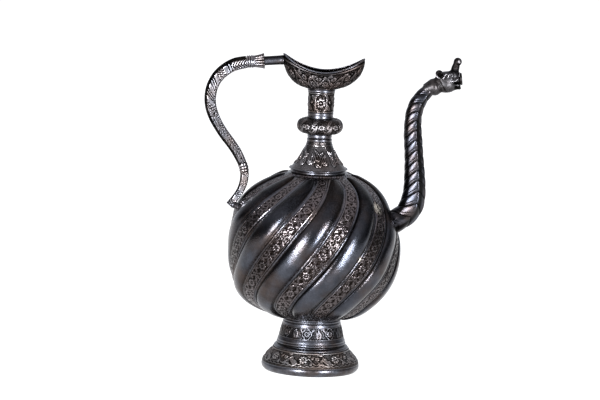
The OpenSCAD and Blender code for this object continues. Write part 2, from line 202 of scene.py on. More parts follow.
def metal(name, dark, light, warm, rough_low, rough_high, grain, stipple=0.0, patch_scale=60.0, scratch=0.0,
          uneven=0.35):
    """Worn dark silver: tarnish in the recesses, brighter metal on the relief, warm patches and fine marks.

    The mesh's "relief" goes from 0 in a black recess to 1 on bright worn metal; on some pieces it also
    carries painted highlights, painted reflections and painted shade. Its "brown" adds warm tarnish up to 1,
    and above 1 the silver is worn through to the brass.
    """
    mat = bpy.data.materials.new(name)
    mat.use_nodes = True
    tree = mat.node_tree
    tree.nodes.clear()
    new, link = tree.nodes.new, tree.links.new
    out = new("ShaderNodeOutputMaterial")
    shader = new("ShaderNodeBsdfPrincipled")
    shader.inputs["Metallic"].default_value = 1.0
    link(shader.outputs[0], out.inputs[0])
    where = new("ShaderNodeTexCoord")

    def noise(scale, detail=3.0, rough=0.55, stretch=None):
        tex = new("ShaderNodeTexNoise")
        tex.inputs["Scale"].default_value = scale
        tex.inputs["Detail"].default_value = detail
        tex.inputs["Roughness"].default_value = rough
        if stretch:
            turn = new("ShaderNodeMapping")
            turn.inputs["Scale"].default_value = stretch
            link(where.outputs["Object"], turn.inputs[0])
            link(turn.outputs[0], tex.inputs["Vector"])
        else:
            link(where.outputs["Object"], tex.inputs["Vector"])
        return tex.outputs["Fac"]

    def calc(kind, a, b, clamp=False):
        node = new("ShaderNodeMath")
        node.operation = kind
        node.use_clamp = clamp
        for i, value in enumerate((a, b)):
            if isinstance(value, (int, float)):
                node.inputs[i].default_value = value
            else:
                link(value, node.inputs[i])
        return node.outputs[0]

    def ramp(value, stops):
        node = new("ShaderNodeValToRGB")
        for i, (at, colour) in enumerate(stops):
            stop = node.color_ramp.elements[i] if i < 2 else node.color_ramp.elements.new(at)
            stop.position = at
            stop.color = (*colour, 1)
        link(value, node.inputs[0])
        return node.outputs[0]

    def mix(fac, a, b, blend="MIX"):
        node = new("ShaderNodeMix")
        node.data_type = "RGBA"
        node.blend_type = blend
        for i, value in ((0, fac), (6, a), (7, b)):
            if isinstance(value, tuple):
                node.inputs[i].default_value = (*value, 1)
            elif isinstance(value, float):
                node.inputs[i].default_value = value
            else:
                link(value, node.inputs[i])
        return node.outputs[2]

    relief = new("ShaderNodeAttribute")
    relief.attribute_name = "relief"
    patches = noise(patch_scale, 4.0, 0.6)
    fine = noise(fine_marks, 2.0, 0.6)
    # relief with fine marks: wear, and on some pieces painted highlights and painted shade
    wear_and_painted_light = calc("ADD", relief.outputs["Fac"], calc("MULTIPLY", calc("SUBTRACT", fine, 0.5), 0.3))
    middle = tuple(0.45 * a + 0.55 * b for a, b in zip(dark, light))
    black = tuple(0.12 * c for c in dark)
    tone = ramp(wear_and_painted_light, [(0.03, black), (0.9, light), (0.5, middle), (0.16, dark)])
    brown = new("ShaderNodeAttribute")
    brown.attribute_name = "brown"
    stains = ramp(patches, [(0.42, (0, 0, 0)), (0.64, (1, 1, 1))])
    warmth = calc("MAXIMUM", stains, brown.outputs["Fac"], True)
    toned = mix(calc("MULTIPLY", warmth, 0.75), tone, mix(wear_and_painted_light, tuple(0.04 * c for c in warm), warm))
    clouds = noise(patch_scale * 3.1, 5.0, 0.65)
    clouds = ramp(clouds, [(0.3, (0.62, 0.62, 0.62)), (0.72, (1.18, 1.18, 1.18))])
    rubbed_and_painted_sheen = calc("SUBTRACT", brown.outputs["Fac"], 1.0, True)
    link(mix(rubbed_and_painted_sheen, mix(1.0, toned, clouds, "MULTIPLY"), bare_brass), shader.inputs["Base Color"])

    smear = calc("MULTIPLY", calc("SUBTRACT", noise(patch_scale * 2.0, 5.0, 0.7), 0.5), 0.2)
    bare = new("ShaderNodeMapRange")
    bare.interpolation_type = "SMOOTHSTEP"
    for socket, value in (("From Min", 0.02), ("From Max", 0.3),
                          ("To Min", rough_high), ("To Max", rough_low)):
        bare.inputs[socket].default_value = value
    link(relief.outputs["Fac"], bare.inputs["Value"])
    dull = calc("ADD", smear, calc("MULTIPLY", rubbed_and_painted_sheen, 0.35))
    link(calc("ADD", bare.outputs[0], dull, True), shader.inputs["Roughness"])

    height = calc("MULTIPLY", noise(grain, 3.0, 0.6), 0.35)
    if stipple:
        pits = new("ShaderNodeTexVoronoi")
        pits.inputs["Scale"].default_value = punch_pits
        link(where.outputs["Object"], pits.inputs["Vector"])
        low = calc("SUBTRACT", 1.0, relief.outputs["Fac"], True)
        pitted = calc("MULTIPLY", calc("MULTIPLY", pits.outputs["Distance"], low), stipple)
        height = calc("ADD", height, pitted)
    if scratch:
        height = calc("ADD", height, calc("MULTIPLY", noise(1.0, 2.0, 0.5, scratch_stretch), scratch))
    surface = new("ShaderNodeBump")
    surface.inputs["Strength"].default_value = uneven
    surface.inputs["Distance"].default_value = 0.3 * MM
    link(height, surface.inputs["Height"])
    link(surface.outputs[0], shader.inputs["Normal"])
    return mat


# dark metal, light metal and warm tarnish; roughness when rubbed and when dull; scale of the grain
finishes = {
    "globe_metal": ((0.008, 0.0077, 0.009), (0.155, 0.166, 0.2), (0.15, 0.106, 0.085), 0.22, 0.6, 420.0),
    "chased_metal": ((0.013, 0.0112, 0.0108), (0.25, 0.236, 0.242), (0.16, 0.116, 0.098), 0.27, 0.6, 520.0),
    "skirt_metal": ((0.022, 0.019, 0.018), (0.27, 0.258, 0.258), (0.23, 0.172, 0.145), 0.44, 0.65, 520.0),
    "knop_metal": ((0.013, 0.0112, 0.0105), (0.25, 0.232, 0.234), (0.14, 0.1, 0.084), 0.4, 0.6, 520.0),
    "collar_metal": ((0.01, 0.0095, 0.0105), (0.12, 0.12, 0.134), (0.12, 0.09, 0.078), 0.33, 0.6, 520.0),
    "bowl_metal": ((0.004, 0.0035, 0.0034), (0.06, 0.055, 0.056), (0.058, 0.042, 0.036), 0.36, 0.6, 520.0),
    "polished_metal": ((0.008, 0.008, 0.0095), (0.12, 0.124, 0.144), (0.08, 0.06, 0.052), 0.3, 0.5, 380.0),
    "handle_metal": ((0.01, 0.0095, 0.0105), (0.27, 0.267, 0.29), (0.24, 0.19, 0.17), 0.26, 0.7, 600.0),
    "spout_metal": ((0.004, 0.0039, 0.0046), (0.058, 0.06, 0.073), (0.062, 0.046, 0.04), 0.27, 0.5, 420.0),
    "head_metal": ((0.0045, 0.0043, 0.0045), (0.345, 0.332, 0.345), (0.14, 0.117, 0.112), 0.37, 0.55, 160.0),
}
marks = {
    "globe_metal": dict(stipple=1.2, patch_scale=26.0),
    "chased_metal": dict(stipple=1.3),
    "skirt_metal": dict(stipple=1.3),
    "knop_metal": dict(stipple=1.3),
    "collar_metal": dict(stipple=1.3),
    "bowl_metal": dict(stipple=1.0),
    "polished_metal": dict(patch_scale=70.0, scratch=0.5),
    "handle_metal": dict(patch_scale=55.0),
    "head_metal": dict(patch_scale=50.0, uneven=0.1),
}
metals = {name: metal(name, *finish, **marks.get(name, {})) for name, finish in finishes.items()}


# ---------------------------------------------------------------- chased ornament
class Chase:
    """Relief drawn over a surface whose points lie at u along it and v across it, in millimetres."""

    def __init__(self, u, v, around=None):
        self.u, self.v, self.around = u, v, around
        self.h = np.zeros(u.shape)
        self.shade = 1.0

    def near(self, u, v, reach):
        """Points within reach of u, v, and their places from it."""
        x = self.u - u
        if self.around:
            x = (x + self.around / 2) % self.around - self.around / 2
        y = self.v - v
        hit = (np.abs(x) < reach) & (np.abs(y) < reach)
        return hit, x[hit], y[hit]

    def lift(self, hit, height):
        self.h[hit] = np.maximum(self.h[hit], height)

    def rosette(self, u, v, size, petals=8, turn=0.0, high=0.5, eye=0.3):
        """Petals round a sunk eye with a small knob in it."""
        hit, x, y = self.near(u, v, size * 1.05)
        r, a = np.hypot(x, y) / size, np.arctan2(y, x) - turn
        petal = np.abs(np.cos(petals * a / 2))
        edge = 0.74 + 0.26 * petal ** 0.6
        body = np.sqrt(np.clip(1 - (r / edge) ** 4, 0, 1)) * (0.3 + 0.7 * petal ** 0.5)
        body *= smooth_step(r, eye, eye + 0.16)
        self.h[hit] = np.where(r < edge, 0, self.h[hit])
        self.lift(hit, high * np.maximum(body, 0.9 * dome(r, 0.55 * eye)))

    def outline_leaf(self, u, v, turn, length, width, bend=0.0, half_width=0.38, high=0.35):
        """Leaf drawn as a thin raised line with a midrib."""
        s = np.linspace(0, 1, 9)
        half = width * np.sin(np.pi * s ** 0.72)
        for side in (-1, 0, 1):
            t = side * half + bend * length * s * s
            self.stem(np.stack([u + length * s * math.cos(turn) - t * math.sin(turn),
                                v + length * s * math.sin(turn) + t * math.cos(turn)], -1), half_width, high)

    def grain(self, amount, seed=3):
        """Uneven punched ground between the motifs."""
        rough = np.random.default_rng(seed).normal(size=self.h.shape)
        beside = (np.roll(rough, 1, 0) + np.roll(rough, 1, 1) + np.roll(rough, -1, 0) + np.roll(rough, -1, 1))
        rough = rough + 0.5 * beside
        self.h = self.h + amount * rough * (1 - 0.6 * smooth_step(self.h, 0.05, 0.3))

    def leaf(self, u, v, turn, length, width, bend=0.0, high=0.45, rib=True):
        """Pointed leaf from its root at u, v, lying at turn radians and curling by bend."""
        hit, x, y = self.near(u, v, length * 1.3)
        s = (x * math.cos(turn) + y * math.sin(turn)) / length
        t = -x * math.sin(turn) + y * math.cos(turn) - bend * length * s * np.abs(s)
        inside = (s > 0) & (s < 1)
        half = width * np.sin(np.pi * np.clip(s, 0, 1) ** 0.72) ** 0.75 + 1e-6
        body = dome(t, half) * inside * (0.55 + 0.45 * np.clip(s, 0, 1))
        if rib:
            body -= 0.45 * inside * bump(t, 0, 0.16 * width) * (body > 0)
        self.lift(hit, high * body)

    def stem(self, path, half_width, high=0.35):
        """Raised stem along a path of u, v points."""
        path = np.array(path, float)
        middle = path.mean(0)
        reach = np.abs(path - middle).max() + half_width
        hit, x, y = self.near(middle[0], middle[1], reach)
        best = np.full(x.shape, 1e9)
        for a, b in zip(path[:-1] - middle, path[1:] - middle):
            d = b - a
            t = np.clip(((x - a[0]) * d[0] + (y - a[1]) * d[1]) / (d @ d), 0, 1)
            best = np.minimum(best, np.hypot(x - a[0] - t * d[0], y - a[1] - t * d[1]))
        self.lift(hit, high * dome(best, half_width))

    def curl(self, u, v, radius, turn, hand=1, half_width=0.45, high=0.35, sweep=4.6):
        """Spiral tendril that starts at radius from u, v and winds in to a small knob."""
        t = np.linspace(0, 1, 18)
        r = radius * (1 - 0.78 * t)
        a = turn + hand * sweep * t
        path = np.stack([u + r * np.cos(a), v + r * np.sin(a)], -1)
        self.stem(path, half_width, high)
        hit, x, y = self.near(u, v, radius)
        self.lift(hit, high * 1.1 * dome(np.hypot(x, y), 0.34 * radius))

    def bead(self, at, half_width, high):
        """Raised line along u at one place across."""
        self.h = np.maximum(self.h, high * dome(self.v - at, half_width))

    def tone(self, high=0.45, ground=0.24, spread=3):
        """Relief for the material: 0 in the ground beside tall work, ground on bare metal, 1 on the work."""
        mean = self.h.copy()
        for axis in (0, 1):
            mean = sum(np.roll(mean, shift, axis) for shift in range(-spread, spread + 1)) / (2 * spread + 1)
        return np.clip(ground + 0.5 * self.h / high + 1.25 * (self.h - mean) / high, 0, 1) * self.shade


def wobble(theta, z, size, seed, waves=7):
    """Slow dents of a hand-raised sheet, closed round the axis."""
    local = np.random.default_rng(seed)
    total = np.zeros(np.broadcast(theta, z).shape)
    for _ in range(waves):
        around = local.integers(1, 9)
        total += np.sin(around * theta + local.uniform(0, 6.3) + z * local.uniform(0.02, 0.16))
    return size * total / math.sqrt(waves)


# ---------------------------------------------------------------- turned pieces
def round_off(zs, rs, soft):
    """Profile with its corners rounded over about soft millimetres, its two ends kept."""
    step = zs[1] - zs[0]
    reach = max(1, int(2.5 * soft / step))
    weight = np.exp(-0.5 * (np.arange(-reach, reach + 1) * step / soft) ** 2)
    padded = np.concatenate([np.full(reach, rs[0]), rs, np.full(reach, rs[-1])])
    return np.convolve(padded, weight / weight.sum(), "valid")


def turned(name, nodes, slot, columns=192, row=0.3, soft=0.22, thick=2.2, ornament=None, grooves=(),
           dents=0.05, seed=1, ground=0.24):
    """Closed turned piece over one or more CAD nodes, with an optional chased ornament."""
    zs, rs = (np.concatenate(part) for part in zip(*[outline(node) for node in nodes]))
    even = np.linspace(zs[0], zs[-1], 8 * int(zs[-1] - zs[0] + 1))
    rs = round_off(even, np.interp(even, zs, rs), soft)
    for at, deep, half in grooves:
        rs = rs - deep * bump(even, at, half)
    along = run(even, rs)
    count = max(6, int(along[-1] / row))
    s = np.linspace(0, along[-1], count)
    z, r = np.interp(s, along, even), np.interp(s, along, rs)
    out_r, out_z = outward(z, r, s)
    theta = circle(columns)
    hollow = np.clip(round_off(s, r, 1.0) - r, 0, 0.6)
    relief = np.repeat((0.8 - 1.3 * hollow)[:, None], columns, 1)
    lift = wobble(theta[None, :], z[:, None], dents, seed)
    if ornament:
        mean_r = 0.5 * (r.max() + r.min())
        u = np.repeat(theta[None, :] * mean_r, count, 0)
        v = np.repeat(s[:, None], columns, 1)
        chase = Chase(u, v, 2 * np.pi * mean_r)
        ornament(chase, mean_r, s[-1])
        lift = lift + chase.h
        relief = chase.tone(ground=ground)
    radius = r[:, None] + lift * out_r[:, None]
    height = z[:, None] + lift * out_z[:, None]
    turn = theta + FRONT
    outer = turned_points(radius, turn, height)
    inside = np.arange(count - 1, -1, -max(1, count // 10))
    if inside[-1] != 0:
        inside = np.append(inside, 0)
    inner_r = np.maximum(r[inside] - thick, 1.0)[:, None]
    inner = turned_points(inner_r, turn, np.repeat(z[inside][:, None], columns, 1))
    rows = np.concatenate([outer, inner])
    tone = np.concatenate([relief, np.full((len(inside), columns), 0.1)])
    return grid_piece(name, rows, nodes, slot, tone)


def skirt_ornament(chase, mean_r, length):
    """Eight petal rosettes round the foot, with a paisley, a small flower and leaves between each two."""
    for k in range(8):
        start = -9.4 + 45 * k
        at = lambda degrees: math.radians(start + degrees) * mean_r
        vine = [(at(x), length * (0.44 + 0.2 * math.sin(math.radians(x * 16)))) for x in range(0, 46, 2)]
        chase.stem(vine, 0.4, 0.55)
        chase.leaf(at(35), 0.2 * length, 2.0, 8.4, 2.2, 0.4, 0.8)
        chase.outline_leaf(at(34), 0.16 * length, 2.0, 9.8, 3.9, 0.4, 0.42, 0.7)
        for turn, degrees, up in ((0.9, 9, 0.2), (2.4, 27, 0.2), (0.4, 10, 0.62),
                                  (2.8, 28, 0.85), (1.6, 22, 0.2)):
            chase.leaf(at(degrees), up * length, turn, 4.8, 1.3, 0.35, 0.65)
        chase.curl(at(28), 0.72 * length, 2.0, 0.0, -1, 0.42, 0.45)
        chase.curl(at(8.5), 0.82 * length, 1.5, 3.1, 1, 0.4, 0.4)
        chase.rosette(at(0), 0.58 * length, 4.7, 8, 0.2 * k, 0.95)
        chase.rosette(at(19), 0.64 * length, 2.4, 6, 0.4, 0.7)
    chase.grain(0.05, 31)
    chase.bead(0.94 * length, 0.5, 0.4)
    scallop = 1.7 + 1.3 * np.abs(np.sin(chase.u / mean_r * 24))
    edge = chase.v - scallop
    chase.h = np.where(edge < 0.25, 0.12 + 0.3 * bump(edge, 0, 0.35), chase.h)
    # painted shade darkens the skirt towards its bottom edge, dimming the lights' highlight there
    chase.shade = 0.35 + 0.65 * smooth_step(chase.v, 1.2, 3.6)


def collar_ornament(chase, mean_r, length):
    """Many-sided oval frames with a rosette in each, and upright leaves between them."""
    for k in range(8):
        at = lambda degrees: math.radians(-8.5 + 45 * k + degrees) * mean_r
        oval = [(at(0) + 4.3 * math.cos(a) * (1 + 0.12 * math.cos(4 * a)),
                 length * 0.5 + 0.44 * length * math.sin(a) * (1 + 0.1 * math.cos(4 * a)))
                for a in np.linspace(0, 2 * math.pi, 29)]
        chase.stem(oval, 0.42, 0.4)
        chase.rosette(at(0), 0.5 * length, 3.3, 8, 0, 0.6)
        chase.leaf(at(22.5), 0.4 * length, math.pi / 2, 0.5 * length, 1.2, 0.0, 0.5)
        for side in (-1, 1):
            chase.leaf(at(22.5 + side), 0.14 * length, math.pi / 2 - 0.55 * side, 0.56 * length,
                       1.25, 0.4 * side, 0.5)
            chase.leaf(at(22.5 + 9 * side), 0.94 * length, -math.pi / 2 + 0.5 * side, 0.4 * length,
                       1.0, 0, 0.4)
    chase.grain(0.045, 32)
    chase.bead(0.45, 0.4, 0.3)
    chase.bead(length - 0.45, 0.4, 0.3)


def cone_ornament(chase, mean_r, length):
    """Palmettes and scrolls drawn in thin raised lines on the plain cone."""
    for k in range(4):
        at = lambda degrees: math.radians(-4 + 90 * k + degrees) * mean_r
        for degrees, up, turn, size, width, bend, line, high in (
            (4, 0.36, 1.75, 0.42, 2.8, 0.25, 0.5, 0.75), (-6, 0.34, 2.3, 0.3, 2.1, -0.3, 0.5, 0.75),
            (14, 0.3, 0.9, 0.32, 2.1, 0.3, 0.5, 0.75), (-10, 0.3, 2.9, 0.22, 1.6, 0.2, 0.48, 0.7),
            (45, 0.16, 1.3, 0.42, 2.2, 0.25, 0.5, 0.75), (50, 0.5, 1.9, 0.26, 1.7, 0.25, 0.48, 0.7),
        ):
            chase.outline_leaf(at(degrees), up * length, turn, size * length, width, bend, line, high)
        for degrees, up, radius, turn, hand, line, high, sweep in (
            (2, 0.24, 3.6, 0.4, -1, 0.52, 0.75, 5.2), (24, 0.28, 2.9, 2.6, 1, 0.5, 0.75, 5.2),
            (-22, 0.3, 2.7, 0.4, -1, 0.5, 0.7, 5.0), (16, 0.66, 2.3, 3.3, 1, 0.46, 0.7, 5.0),
            (-38, 0.55, 2.1, 1.0, 1, 0.46, 0.7, 5.0),
        ):
            chase.curl(at(degrees), up * length, radius, turn, hand, line, high, sweep)
        chase.leaf(at(-14), 0.62 * length, 1.3, 0.2 * length, 1.2, 0.3, 0.45)
        chase.leaf(at(34), 0.74 * length, 1.7, 0.16 * length, 1.0, 0.3, 0.4)
    chase.grain(0.025, 33)
    chase.bead(0.9 * length, 0.4, 0.25)


def knop_ornament(chase, mean_r, length):
    """Oblique leaves and flowers round the knop."""
    for k in range(9):
        at = lambda degrees: math.radians(4 + 40 * k + degrees) * mean_r
        chase.leaf(at(6), 0.16 * length, 0.7, 0.5 * length, 1.9, 0.35, 0.65)
        chase.leaf(at(34), 0.86 * length, -2.4, 0.46 * length, 1.7, 0.35, 0.6)
        chase.leaf(at(12), 0.8 * length, 0.3, 0.26 * length, 1.2, -0.4, 0.45)
        chase.leaf(at(24), 0.22 * length, 2.8, 0.26 * length, 1.2, -0.4, 0.45)
        chase.curl(at(20), 0.5 * length, 2.3, 0.4, 1, 0.45, 0.5)
        chase.rosette(at(0), 0.52 * length, 2.9, 6, 0.3, 0.6)
    chase.grain(0.05, 34)
    chase.shade = 0.8


def tube_ornament(chase, mean_r, length):
    """Four large rosettes round the tube with leaves between them."""
    for k in range(4):
        at = lambda degrees: math.radians(90 * k + degrees) * mean_r
        for side in (-1, 1):
            for degrees, up, upward, lean, size, width, bend, high in (
                (24, 0.1, 1, 0.35, 0.45, 1.7, 0.3, 0.55), (24, 0.9, -1, 0.35, 0.42, 1.6, -0.3, 0.5),
                (8, 0.93, -1, 1.1, 0.2, 1.1, 0, 0.4), (8, 0.07, 1, 1.1, 0.2, 1.1, 0, 0.4),
            ):
                turn = upward * (math.pi / 2 - side * lean)
                chase.leaf(at(degrees * side), up * length, turn, size * length, width, bend * side, high)
        chase.leaf(at(42), 0.1 * length, 1.9, 0.5 * length, 1.7, 0.25, 0.6)
        chase.leaf(at(48), 0.9 * length, -1.3, 0.48 * length, 1.6, 0.25, 0.55)
        chase.curl(at(45), 0.5 * length, 1.7, 0.6, 1, 0.42, 0.45)
        chase.rosette(at(0), 0.48 * length, 5.4, 8, 0.2, 0.75, 0.36)
    chase.grain(0.05, 35)
    chase.shade = 0.8
    chase.bead(0.7, 0.5, 0.4)
    chase.bead(length - 0.8, 0.5, 0.4)


for name, nodes, slot, options in (
    ("foot_rim_band", ["foot_rim"], "polished_metal",
     dict(soft=0.35, thick=3.0, grooves=((foot_rim_top - 0.9, 0.35, 0.3), (1.4, 0.25, 0.25)), seed=2)),
    ("foot_chased_skirt", ["foot_skirt"], "skirt_metal",
     dict(columns=560, row=0.36, thick=wall, ornament=skirt_ornament, seed=3, ground=0.3)),
    ("foot_lower_bead_ring", ["foot_lower_bead"], "polished_metal", dict(seed=4)),
    ("foot_upper_bead_rings", ["foot_upper_beads"], "polished_metal", dict(seed=5)),
    ("foot_chased_collar", ["foot_collar"], "collar_metal",
     dict(columns=480, row=0.33, thick=wall, ornament=collar_ornament, seed=6)),
    ("foot_top_rings", ["foot_top_ring"], "polished_metal", dict(thick=3.0, seed=7)),
    ("shoulder_rolled_ring", ["shoulder_ring"], "polished_metal", dict(soft=0.35, thick=3.5, seed=8)),
    ("neck_chased_cone", ["neck_cone"], "chased_metal",
     dict(columns=400, row=0.33, thick=wall, ornament=cone_ornament, seed=9, ground=0.4)),
    ("neck_rings", ["neck_ring_pair"], "polished_metal", dict(seed=10, thick=1.8)),
    ("neck_knop", ["knop_lower", "knop_upper"], "knop_metal",
     dict(columns=480, row=0.33, thick=wall, ornament=knop_ornament, seed=11, ground=0.2)),
    ("neck_polished_band", ["neck_band"], "polished_metal", dict(seed=12, thick=1.8)),
    ("neck_chased_tube", ["neck_tube"], "chased_metal",
     dict(columns=320, row=0.3, thick=wall, ornament=tube_ornament, seed=13, ground=0.05)),
    ("throat_ring", ["throat_bead"], "polished_metal", dict(seed=14, thick=2.5)),
):
    turned(name, nodes, slot, **options)


# ---------------------------------------------------------------- globe
lobe_count = 10
pitch = 2 * math.pi / lobe_count
twist = math.radians(0.53)  # turn of the bands per millimetre of height
band_start = math.radians(6) + FRONT
half_band, half_field = 0.256, 0.162  # half widths of a band and of its chased field, as shares of the pitch
belly_lean = 2.1
groove_depth = 2.0
field_columns, strip_columns, lobe_columns = 28, 8, 9
globe_rows = 164  # in each half
lower_half, upper_half = 75.5, 75.9
lower_fullness, upper_fullness = 2.68, 2.18
rosette_gap = 3.75  # in half widths of the field
rosette_step = 0.37  # how far the next band's rosettes are moved on, as a share of the gap
rubbed_spots = ((60.5, 170.5, 9), (44, 124.5, 3.5))  # x, z and size


def globe_radius(z):
    """Radius of the globe's mean surface, fuller below its widest level than above."""
    up = z > globe_mid
    half = np.where(up, upper_half, lower_half)
    power = np.where(up, upper_fullness, lower_fullness)
    return globe_r * np.clip(1 - (np.abs(z - globe_mid) / half) ** power, 1e-4, 1) ** (1 / power)


def globe_levels():
    """Heights of the rows, evenly spaced over the surface: the lower half's, then the upper half's."""
    halves = []
    for a, b in ((globe_bottom, globe_mid), (globe_mid, crown)):
        fine = (a + b) / 2 - (b - a) / 2 * np.cos(np.linspace(0, np.pi, 4000))
        along = run(fine, globe_radius(fine))
        halves.append(np.interp(np.linspace(0, along[-1], globe_rows + 1), along, fine))
    return np.concatenate([halves[0], halves[1][1:]])


def lean_at(z):
    """How far the hand-raised belly stands towards the handle at a height."""
    share = np.clip((z - globe_bottom) / (crown - globe_bottom), 0, 1)
    lean = 0.6 + belly_lean * (bump(z, 76, 22) + 1.1 * bump(z, 158, 22))
    return lean * smooth_step(share, 0, 0.12) * smooth_step(1 - share, 0, 0.12)


def band_ornament(chase):
    """Rosettes along the band with curled leaves and buds between, in units of the field's half width."""
    low, high = chase.u.min(), chase.u.max()
    first, last = math.floor(low / rosette_gap) - 1, math.ceil(high / rosette_gap) + 1
    for k in range(first, last + 1):
        at = k * rosette_gap
        bud = at + rosette_gap / 2
        for side in (-1, 1):
            chase.leaf(at + 0.5, 0.62 * side, 0.2 * side, 1.0, 0.2, -0.45 * side, 0.5)
            chase.leaf(at - 0.5, 0.62 * side, math.pi - 0.2 * side, 1.0, 0.2, 0.45 * side, 0.5)
            chase.leaf(at + 0.6, 0.2 * side, 0.5 * side, 0.85, 0.17, 0.4 * side, 0.45)
            chase.leaf(at - 0.6, 0.2 * side, math.pi - 0.5 * side, 0.85, 0.17, -0.4 * side, 0.45)
            chase.curl(bud, 0.58 * side, 0.3, 1.5 * side, side, 0.085, 0.45)
            chase.leaf(bud - 0.3, 0.12 * side, 2.4 * side, 0.62, 0.15, 0.3, 0.42, False)
            chase.leaf(bud + 0.3, 0.12 * side, 0.75 * side, 0.62, 0.15, -0.3, 0.42, False)
            chase.leaf(bud + 0.75, 0.72 * side, 2.9 * side, 0.5, 0.12, 0.2, 0.4, False)
        chase.rosette(at, 0, 0.66, 8, 0.5 * k, 0.62, 0.34)
        chase.rosette(bud, 0.0, 0.4, 5, 0.2, 0.5)
    for side in (-1, 1):
        chase.h = np.maximum(chase.h, 0.4 * dome(chase.v - 0.94 * side, 0.07))


def globe_columns(field, band_half):
    """Places of a row's points across one pitch, as shares of it: field, strip, lobe and strip."""
    strip = np.linspace(0, 1, strip_columns + 1)[1:]
    lobe = np.linspace(0, 1, lobe_columns + 1)[1:-1]
    return np.concatenate([
        np.linspace(-1, 1, field_columns + 1) * field,
        field + (band_half - field) * strip,
        band_half + (1 - 2 * band_half) * (0.5 - 0.5 * np.cos(np.pi * lobe)),
        (1 - band_half + (band_half - field) * strip)[:-1],
    ])


def rub_through(outer, tone, brown):
    """Raises brown above 1 where the silvering is rubbed through on the camera's side."""
    rub = np.random.default_rng(61).uniform(0.55, 1, brown.shape) * smooth_step(tone, 0.1, 0.3)
    for x, high, size in rubbed_spots:
        miss = np.hypot(outer[..., 0] - x, outer[..., 2] - high) + 1000 * (outer[..., 1] > 0)
        spot = outer[np.unravel_index(np.argmin(miss), miss.shape)]
        away = np.linalg.norm(outer - spot, axis=-1) / size
        brown = np.maximum(brown, 2.1 * rub * np.exp(-away ** 4))
    return brown


def globe_surface():
    """Rows of the whole globe's skin, their relief and brown, and their angles and heights."""
    z = globe_levels()
    r = globe_radius(z)
    s = run(z, r)
    out_r, out_z = outward(z, r, s)
    # lobes end in rounded points a little short of the foot and of the shoulder ring
    top = np.clip((s[-1] - 3.0 - s) / 26, 0, 1)
    low = np.clip((s - 0.5) / 20, 0, 1)
    taper = np.sqrt(np.clip(1 - (1 - top) ** 2.2, 0, 1)) * np.sqrt(np.clip(1 - (1 - low) ** 2.2, 0, 1))
    lobe_half = (0.5 - half_band) * taper
    band_half = 0.5 - lobe_half
    field = half_field + 0.35 * (band_half - half_band)
    # the bands run aslant, so what is square across them is shorter than round the axis
    slant = r * twist * np.gradient(z, s)
    square = np.sqrt(1 + slant ** 2)
    field_mm = field * pitch * r / square
    along = np.cumsum(np.diff(s, prepend=s[0]) * square / field_mm)
    along -= along[globe_rows]

    share = np.array([globe_columns(f, b) for f, b in zip(field, band_half)])
    x = np.where(share > 0.5, share - 1, share)
    across = x * pitch * r[:, None] / square[:, None]
    on_band = np.abs(x) / band_half[:, None]
    from_crest = np.clip((0.5 - np.abs(x)) / np.maximum(lobe_half[:, None], 1e-3), 0, 1)
    fade = np.sqrt(r / globe_r)[:, None]
    bulge = np.where(lobe_half[:, None] > 1e-3, (1 - from_crest ** 2.2) ** 0.62, 0)
    bulge = bulge * np.clip(taper[:, None] * 1.4, 0, 1)
    ends = 1 - np.sin(np.pi * s / s[-1])[:, None]
    ends = ends * np.where(z < globe_mid, 0.5, 1)[:, None]
    drop = fade * (groove_depth - (groove_depth + 0.6 + 1.2 * ends) * bulge)
    # strips beside the chased field: two incised lines, and a deep groove where the lobe rises
    strip_mm = (band_half - field)[:, None] * pitch * r[:, None] / square[:, None]
    outside = (np.abs(across) - field_mm[:, None]) / np.maximum(strip_mm, 0.2)
    drop += 0.55 * fade * bump(on_band, 1.0, 0.05)
    drop -= 0.2 * fade * bump(outside, 0.5, 0.28)
    in_strip = (np.abs(across) > field_mm[:, None]) & (on_band < 1)
    lines = sum(bump(outside, at, 0.07) for at in (0.14, 0.78))
    drop += 0.22 * lines * in_strip * fade

    unit = across / field_mm[:, None]
    # painted shading: the bands are darker, and so duller, round the belly's middle height, where the lights
    # glint, and lighter above and below
    band_painted_shading = 0.58 + 0.6 * smooth_step(np.abs(z - 122), 12, 60)[:, None]
    # painted light and shade near the top: more contrast in the chased fields, lighter strips and darker
    # lobes
    top_painted_shading = smooth_step(z, 145, 185)[:, None]
    scale = np.clip(field_mm[:, None] / 6.5, 0.35, 1.1)
    theta_rows, lifts, tones = [], [], []
    for band in range(lobe_count):
        shift = -rosette_step * band * rosette_gap
        chase = Chase(along[:, None] + unit * slant[:, None] + shift, unit)
        band_ornament(chase)
        chase.grain(0.055, 40 + band)
        chase.h = np.where(np.abs(unit) <= 1.02, chase.h, 0)
        tone = chase.tone(0.5)
        tone = band_painted_shading * (tone + top_painted_shading * (1.2 * tone - 0.12))
        tone = np.where(np.abs(unit) <= 1.0, tone, (0.28 + 0.12 * bulge) * (1 - 0.55 * top_painted_shading))
        speckle = 0.07 * np.random.default_rng(80 + band).normal(size=tone.shape)
        tone = np.where(in_strip, 0.36 + 0.3 * top_painted_shading + speckle - 0.3 * lines, tone)
        tone -= 0.4 * bump(on_band, 1.0, 0.045)
        lifts.append(chase.h * scale * 1.1)
        tones.append(np.clip(tone, 0, 1))
        theta_rows.append(band_start + twist * (z - globe_mid)[:, None] + (band + share) * pitch)
    theta = np.concatenate(theta_rows, 1)
    lift = np.concatenate(lifts, 1) - np.tile(drop, (1, lobe_count))
    lift += wobble(theta, z[:, None], 0.22, 21, 9) * smooth_step(r, 30, 60)[:, None]
    radius = r[:, None] + lift * out_r[:, None]
    height = z[:, None] + lift * out_z[:, None]
    height[0], height[-1] = z[0], z[-1]
    outer = turned_points(radius, theta, height, lean_at(z)[:, None])
    tone = np.concatenate(tones, 1)
    brown = 0.25 * smooth_step(on_band, 1.02, 0.96) + 0.55 * smooth_step(np.abs(unit), 1.03, 0.98)
    return outer, tone, rub_through(outer, tone, np.tile(brown, (1, lobe_count))), theta, z


